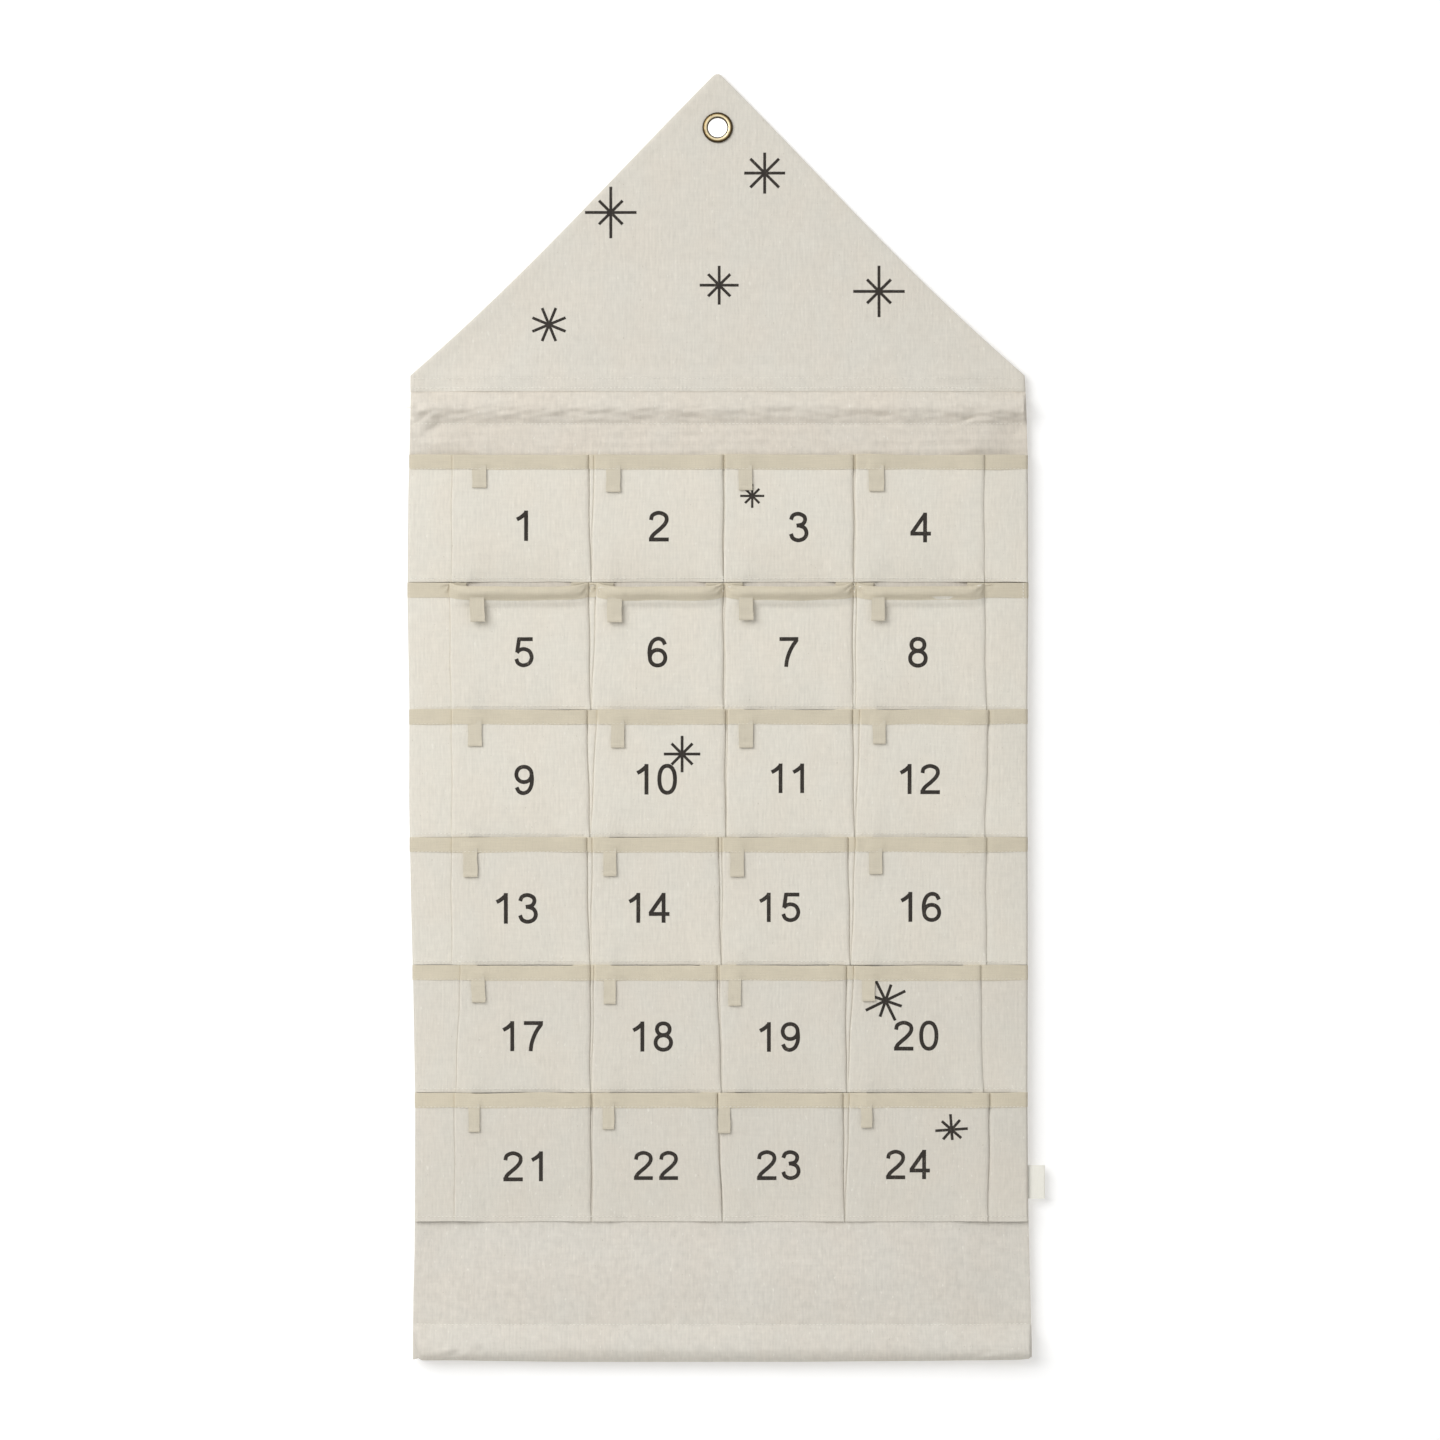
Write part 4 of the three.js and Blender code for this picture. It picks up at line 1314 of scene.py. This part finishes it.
def strokePoints(kind, *thousandths):
    values = np.array(thousandths) / 1000
    if kind == "ring":
        return ringPoints(*values)
    points = values.reshape(-1, 2)
    return smoothLine(points) if kind == "curve" else points


# A ring has its centre, its two radii and the power of its roundness; lines and curves have their points
lowBowl = (560, 130, 365, 62, 190, 130, 122, 275)
figureStrokes = {
    "0": [("ring", 379, 500, 256, 441, 2250)],
    "1": [("line", 457, 0, 457, 1000), ("curve", 462, 940, 370, 845, 265, 765, 155, 705)],
    "2": [
        ("curve", 118, 700, 165, 855, 370, 937, 575, 865, 632, 730, 585, 590, 450, 440, 285, 300, 170, 190, 112, 70),
        ("line", 50, 63, 700, 63),
    ],
    "3": [
        ("curve", 125, 740, 190, 880, 365, 937, 545, 865, 590, 735, 510, 595, 310, 545),
        ("curve", 310, 546, 410, 543, 575, 465, 637, 290, *lowBowl),
    ],
    "4": [("line", 510, 0, 510, 1000), ("line", 18, 295, 707, 295), ("line", 67, 317, 521, 966)],
    "5": [
        ("line", 190, 936, 672, 936),
        ("line", 222, 985, 150, 490),
        ("curve", 140, 490, 240, 573, 385, 607, 560, 530, 637, 330, 555, 135, 360, 62, 190, 130, 122, 275),
    ],
    "6": [
        ("ring", 385, 315, 252, 253, 2100),
        ("curve", 628, 745, 550, 885, 400, 937, 240, 865, 145, 690, 118, 480, 133, 320),
    ],
    "7": [("line", 66, 936, 700, 936), ("curve", 645, 900, 500, 690, 385, 450, 315, 210, 290, 0)],
    "8": [("ring", 379, 744, 212, 194, 2100), ("ring", 379, 300, 256, 238, 2100)],
}
numeralStrokes = {
    figure: [(strokePoints(*stroke), stroke[0] == "ring") for stroke in strokes]
    for figure, strokes in figureStrokes.items()
}
numeralStrokes["9"] = [(np.array([figureWidth, 1.0]) - points, closed) for points, closed in numeralStrokes["6"]]

# Left and right column, upper and lower line of each printed numeral, in order
numeralPlaces = [
    (515.6, 528.7, 510.7, 541), (648.3, 669.5, 511, 541.5), (788.4, 809, 512, 542.3), (910, 931, 512.8, 542.5),
    (513.5, 534.7, 637.3, 667.2), (647, 667.8, 636.8, 667.4), (778.7, 799, 637.2, 666.9), (907.6, 928, 637, 667.6),
    (514, 534.7, 764.9, 795), (636.4, 677, 764, 794.5), (770.7, 804, 763.5, 793), (899.5, 939.8, 764, 794),
    (495.8, 537.9, 893, 923.6), (628.4, 669.5, 892.8, 922.7), (759, 800.2, 892.6, 921.9), (900.3, 941, 891.8, 921.7),
    (502.4, 543, 1021, 1051), (632.4, 673, 1021.3, 1051.4),
    (759, 800, 1021.9, 1051.6), (893.9, 938.2, 1020.5, 1050.3),
    (503.5, 543, 1151, 1180.9), (634, 678, 1150.7, 1179.7), (757, 800.5, 1150, 1179.9), (886, 929.8, 1149.6, 1179),
]
inkPlan = {"lift": 0.07, "thickness": 0.16, "step": 0.8, "across": 4, "stagger": 0.006, "offSurface": -2.0}


def resampled(points, closed, step):
    line = np.concatenate([points, points[:1]]) if closed else points
    run = runAlong(*line.T)
    places = np.linspace(0, run[-1], max(int(round(run[-1] / step)), 2) + 1)
    if closed:
        places = places[:-1]
    return np.stack([np.interp(places, run, line[:, 0]), np.interp(places, run, line[:, 1])], axis=1)


def inkRibbon(points, closed, width):
    line = resampled(points, closed, inkPlan["step"])
    if closed:
        step = np.roll(line, -1, axis=0) - np.roll(line, 1, axis=0)
    else:
        step = np.gradient(line, axis=0)
    step = step / np.linalg.norm(step, axis=1, keepdims=True)
    side = np.stack([-step[:, 1], step[:, 0]], axis=1)
    shares = np.linspace(-0.5, 0.5, inkPlan["across"])
    return line[None, :, :] + side[None, :, :] * (shares * width)[:, None, None]


def inkPiece(name, ribbons, surface):
    points = []
    faces = []
    for number, (ribbon, closed) in enumerate(ribbons):
        first = len(points)
        lift = inkPlan["lift"] + inkPlan["stagger"] * number
        for x, z in ribbon.reshape(-1, 2):
            points.append((x, depthAt(surface, x, z, inkPlan["offSurface"]) - lift, z))
        faces.extend((gridFaces(*ribbon.shape[:2], closed) + first).tolist())
    piece = meshPiece(name, points, faces, charcoalInk)
    thicken(piece, inkPlan["thickness"], -1)
    soften(piece)
    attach(piece, "root")


def buildNumeral(number, place):
    leftColumn, rightColumn, upperLine, lowerLine = place
    size = (lowerLine - upperLine) * photo["pixel"]
    ribbons = []
    text = str(number)
    for position, figure in enumerate(text):
        drawn = numeralStrokes[figure]
        strokes = [(inkRibbon(points * size, closed, strokeShare * size), closed) for points, closed in drawn]
        toLeft = photoX(leftColumn) - min(float(ribbon[..., 0].min()) for ribbon, _ in strokes)
        toRight = photoX(rightColumn) - max(float(ribbon[..., 0].max()) for ribbon, _ in strokes)
        shift = (toLeft + toRight) / 2 if len(text) == 1 else (toLeft, toRight)[position]
        ribbons += [(ribbon + np.array([shift, photoZ(lowerLine)]), closed) for ribbon, closed in strokes]
    inkPiece(f"numeral_{number:02d}", ribbons, stripSurface)


for number, place in enumerate(numeralPlaces, start=1):
    buildNumeral(number, place)
print("numerals printed")


# Line stars: centre column and line, turn in degrees, the rays' lengths in pixels, two in turn or all eight, and
# the width of a ray

starPlaces = [
    (764.7, 172.7, 0, (20.5, 20.3), 2.9),
    (610.7, 212.1, 0, (25.8, 16.7), 2.9),
    (719.2, 285, 0, (19.5, 15.7), 2.8),
    (879.1, 291.1, 0, (25.8, 16.9), 2.9),
    (548.9, 324.4, 22.5, (18, 18), 2.8),
    (752.2, 496.1, 0, (12, 10.1), 2.3),
    (682.1, 754, 0, (18.2, 14.8), 2.8),
    (885.4, 1000.4, 26, (22, 17), 2.9),
    (951.4, 1129.4, 4, (16.3, 12.9, 15.5, 12.9, 16.3, 12.9, 10.4, 12.9), 2.7),
]


def buildStar(number, place, surface):
    column, line, turn, rays, stroke = place
    centre = np.array([photoX(column), photoZ(line)])
    ribbons = []
    for k in range(8):
        length = rays[k % len(rays)] * photo["pixel"]
        angle = math.radians(turn + 45 * k)
        way = np.array([math.cos(angle), math.sin(angle)])
        points = np.stack([centre - way * 0.25, centre + way * length])
        ribbons.append((inkRibbon(points, False, stroke * photo["pixel"]), False))
    inkPiece(f"star_{number}", ribbons, surface)


printSurface = surfaceOf(gable, *strips)
for number, place in enumerate(starPlaces, start=1):
    buildStar(number, place, printSurface)
print("stars printed")


# Stitches: short arches of thread, each with a few dozen faces

stitchPlan = {
    "pitch": 2.9,
    "length": 2.0,
    "radius": 0.29,
    "sides": 5,
    "spans": 5,
    "proud": 0.12,
    "sideMargin": 2.2,
    "missing": 999,
    "steepest": 1.6,
}


def sewn(name, runs, surface, rear=False, size=1.0):
    # runs holds start and end of each stitch in x and z
    points = []
    faces = []
    sides, spans, missing = stitchPlan["sides"], stitchPlan["spans"], stitchPlan["missing"]
    radius = stitchPlan["radius"] * size
    out = np.array([0.0, 1.0 if rear else -1.0, 0.0])
    angles = np.linspace(0, math.tau, sides + 1)[:-1]
    for (startX, startZ), (endX, endZ) in runs:
        startY = depthAt(surface, startX, startZ, missing, rear)
        endY = depthAt(surface, endX, endZ, missing, rear)
        if missing in (startY, endY) or abs(startY - endY) > stitchPlan["steepest"]:
            continue
        start, end = np.array([startX, startY, startZ]), np.array([endX, endY, endZ])
        side = np.cross((end - start) / np.linalg.norm(end - start), out)
        first = len(points)
        for k in range(spans + 1):
            share = k / spans
            swell = math.sin(math.pi * share)
            centre = start * (1 - share) + end * share + out * (swell * (radius + stitchPlan["proud"]) - radius * 0.6)
            thick = radius * (0.55 + 0.45 * swell)
            for angle in angles:
                points.append(centre + (side * math.cos(angle) + out * math.sin(angle)) * thick)
        for k in range(spans):
            for j in range(sides):
                a, b = first + k * sides + j, first + k * sides + (j + 1) % sides
                faces.append([a, a + sides, b + sides, b] if rear else [a, b, b + sides, a + sides])
        forwards, last = list(range(sides)), first + spans * sides
        caps = (forwards, forwards[::-1]) if rear else (forwards[::-1], forwards)
        faces.append([first + j for j in caps[0]])
        faces.append([last + j for j in caps[1]])
    piece = meshPiece(name, points, faces, paleThread)
    soften(piece, 70)
    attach(piece, "root")


def stitchRow(name, z, surface, seed, rear=False, size=1.0, wander=0.12):
    draw = np.random.default_rng(seed)
    start = float(hungX(-house["halfWidth"], z)) + stitchPlan["sideMargin"]
    end = float(hungX(house["halfWidth"], z)) - stitchPlan["sideMargin"]
    count = int((end - start) / stitchPlan["pitch"])
    runs = []
    for k in range(count):
        x = start + k * (end - start) / count
        tilt = draw.uniform(-0.1, 0.1)
        level = z + wander * ripple(np.array([x]), np.array([0.0]), seed, 70, 70)[0]
        length = stitchPlan["length"] * draw.uniform(0.92, 1.06)
        runs.append(((x, level - tilt), (x + length, level + tilt)))
    sewn(name, runs, surface, rear, size)


# Level, size and seed of each row of stitches through the front cloths
frontStitches = {
    "gable_edge": (-193.0, 1.0, 201),
    "gable_second": (-185.7, 0.7, 202),
    "sleeve": (panelPlan["sleeveStitch"], 0.85, 203),
    "hem": (dowels["hemStitchZ"], 0.85, 204),
}
rearStitches = {"edge": -193.0, "sleeve": panelPlan["sleeveStitch"], "hem": dowels["hemStitchZ"]}
seamStitch = {"aboveEdge": 1.9, "size": 0.92, "aboveTapeEdge": 0.9, "tapeSize": 0.42, "lastTapeSize": 0.7}
frontCloth = surfaceOf(gable, body)
rearSurface = surfaceOf(lining)
bindingSurface = surfaceOf(*bindings)
for key, (level, size, seed) in frontStitches.items():
    stitchRow(f"stitch_{key}", level, frontCloth, seed, size=size)
for number, (key, level) in enumerate(rearStitches.items()):
    stitchRow(f"stitch_rear_{key}", level, rearSurface, 211 + number, rear=True, size=0.9)
for row in range(6):
    seamZ = mouthAt(row) - rows["height"] + seamStitch["aboveEdge"]
    stitchRow(f"stitch_seam_{row + 1}", seamZ, stripSurface, 221 + row, size=seamStitch["size"])
    # the second row's mouths roll over, which hides the stitches of its tape
    if row != 1:
        tapeZ = mouthAt(row) - rows["bindingHeight"] + seamStitch["aboveTapeEdge"]
        size = seamStitch["lastTapeSize" if row == 5 else "tapeSize"]
        stitchRow(f"stitch_binding_{row + 1}", tapeZ, bindingSurface, 231 + row, size=size, wander=0.1)

# Tack stitches up the crevices and at the right margin of the second row: column, upper and lower line
tackPlaces = [(590, 576, 592), (722.8, 576, 592), (854, 577, 591), (1023, 583, 600)]
tackPlan = {"pitch": 3.4, "length": 2.4, "lean": 0.4}
tackSurface = surfaceOf(body, *strips, *bindings)


def buildTacks():
    runs = []
    for column, upper, lower in tackPlaces:
        line = upper
        while line < lower:
            end = (photoX(column + tackPlan["lean"]), photoZ(line + tackPlan["length"]))
            runs.append(((photoX(column), photoZ(line)), end))
            line += tackPlan["pitch"]
    sewn("stitch_tacks", runs, tackSurface)


tailPlan = {"column": 409.5, "line": 407, "length": 5.2, "radius": 0.22, "sides": 8, "turn": 82, "depth": -1.6}


def buildThreadTail():
    bpy.ops.object.select_all(action="DESELECT")
    bpy.ops.mesh.primitive_cylinder_add(
        vertices=tailPlan["sides"],
        radius=tailPlan["radius"] * mm,
        depth=tailPlan["length"] * mm,
        location=Vector((photoX(tailPlan["column"]), tailPlan["depth"], photoZ(tailPlan["line"]))) * mm,
        rotation=(0, math.radians(tailPlan["turn"]), 0),
    )
    tail = bpy.context.active_object
    tail.name = "thread_tail"
    bpy.ops.object.transform_apply(location=True, rotation=True, scale=True)
    tail.data.materials.append(paleThread)
    soften(tail, 50)
    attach(tail, "root")


buildTacks()
buildThreadTail()
print("stitches sewn")


# Studio: a white wall just behind, a pale floor well below, a large soft lamp up on the left

studio = {
    "wallHeights": [1200, -60, -215, -950, -1400],
    "wallGaps": [2.4, 2.8, 7.0, 7.6, 8.2],
    "wallReach": 1800,
    # painted light: the wall glows white behind the eyelet's bore, fading out over these distances
    "boreGlow": 1.0,
    "boreFade": (9, 15),
    "wallAlbedo": 0.9,
    "wallGlow": 0.2,
    "floorY": -600,
    "floorZ": -1400,
    "floorSize": 3.2,
    "floorFade": (0.5, 1.5),
    "worldLight": 0.445,
    "worldRise": 0.25,
    "lampTarget": (-0.1, 0.0, -0.35),
    "lampSize": 2.7,
    "keyPlace": (-1.95, -2.94, 1.03),
    "keyPower": 96,
    "rearPlace": (1.2, 3.2, 0.9),
    "rearPower": 60,
}


def seenDirectly(finish):
    # 1 for rays that carry the background into the picture: from the camera, by gloss or through something
    rays = ("Is Camera Ray", "Is Glossy Ray", "Is Transmission Ray")
    camera, glossy, through = (finish.node("ShaderNodeLightPath", output=name) for name in rays)
    return finish.node("ShaderNodeMath", {"operation": "MINIMUM"}, {0: camera + glossy + through, 1: 1.0})


def grey(value):
    return (value, value, value, 1)


def buildWall():
    # the cloth touches it near the eyelet and hangs further off it below the upper dowel
    finish = Finish("wall_white")
    reach = studio["wallReach"]
    lines = [[(x, gap, z) for x in (reach, -reach)] for z, gap in zip(studio["wallHeights"], studio["wallGaps"])]
    wall = meshPiece("wall", np.reshape(lines, (-1, 3)), gridFaces(len(lines), 2), finish.material)
    shade = finish.node("ShaderNodeBsdfDiffuse", {}, {"Color": grey(studio["wallAlbedo"])})
    # painted light: the wall glows white behind the eyelet's bore, where the eyelet shades it
    behindBore = 1 - finish.limited(finish.length(finish.objectPlace()) * 1000, *studio["boreFade"])
    colour = finish.mix(grey(studio["wallGlow"]), grey(studio["boreGlow"]), behindBore)
    glow = finish.node("ShaderNodeEmission", {}, {"Color": colour, "Strength": 1.0})
    lit = finish.node("ShaderNodeAddShader", {}, {0: shade, 1: glow})
    clear = finish.node("ShaderNodeBsdfTransparent")
    behind = finish.node("ShaderNodeNewGeometry", output="Backfacing")
    finish.surface(seenDirectly(finish) * (1 - behind), clear, lit)


def buildFloor():
    bpy.ops.object.select_all(action="DESELECT")
    place = Vector((0, studio["floorY"], studio["floorZ"])) * mm
    bpy.ops.mesh.primitive_plane_add(size=studio["floorSize"], location=place)
    floor = bpy.context.active_object
    floor.name = "floor"
    finish = Finish("floor_pale")
    speck = finish.noise(finish.objectPlace(), (6, 6, 6), 3.0)
    finish.set(Base_Color=finish.mix(paint(208, 207, 205), paint(220, 219, 217), 0.5 + speck), Roughness=0.85)
    # the floor fades into the white background towards its edges
    white = finish.node("ShaderNodeEmission", {}, {"Color": grey(1), "Strength": 1.0})
    gone = finish.limited(finish.length(finish.objectPlace()), *studio["floorFade"]) * seenDirectly(finish)
    finish.surface(gone, Wire(finish, finish.shader.outputs[0]), white)
    floor.data.materials.append(finish.material)


def addSoftLamp(name, place, power):
    data = bpy.data.lights.new(name, "AREA")
    data.shape = "SQUARE"
    data.size = studio["lampSize"]
    data.energy = power
    lamp = bpy.data.objects.new(name, data)
    bpy.context.scene.collection.objects.link(lamp)
    lamp.location = place
    lamp.rotation_euler = (Vector(studio["lampTarget"]) - Vector(place)).to_track_quat("-Z", "Y").to_euler()
    lamp.visible_camera = False


def lightWorld():
    # white where it is seen, and otherwise a soft light that grows a little upwards
    world = bpy.data.worlds.new("studio_world")
    bpy.context.scene.world = world
    sky = Finish("studio_world", world)
    height = sky.axis(sky.node("ShaderNodeTexCoord", output="Generated"), 2)
    light = height * studio["worldRise"] + studio["worldLight"]
    span = {"Value": seenDirectly(sky), "To Min": light, "To Max": 1.0}
    background = sky.tree.nodes["Background"]
    sky.feed(background.inputs["Color"], grey(1))
    sky.feed(background.inputs["Strength"], sky.node("ShaderNodeMapRange", {}, span))


buildWall()
buildFloor()
addSoftLamp("key_lamp", studio["keyPlace"], studio["keyPower"])
addSoftLamp("rear_lamp", studio["rearPlace"], studio["rearPower"])
lightWorld()
bpy.context.scene.view_settings.view_transform = "Standard"
print("studio lit")
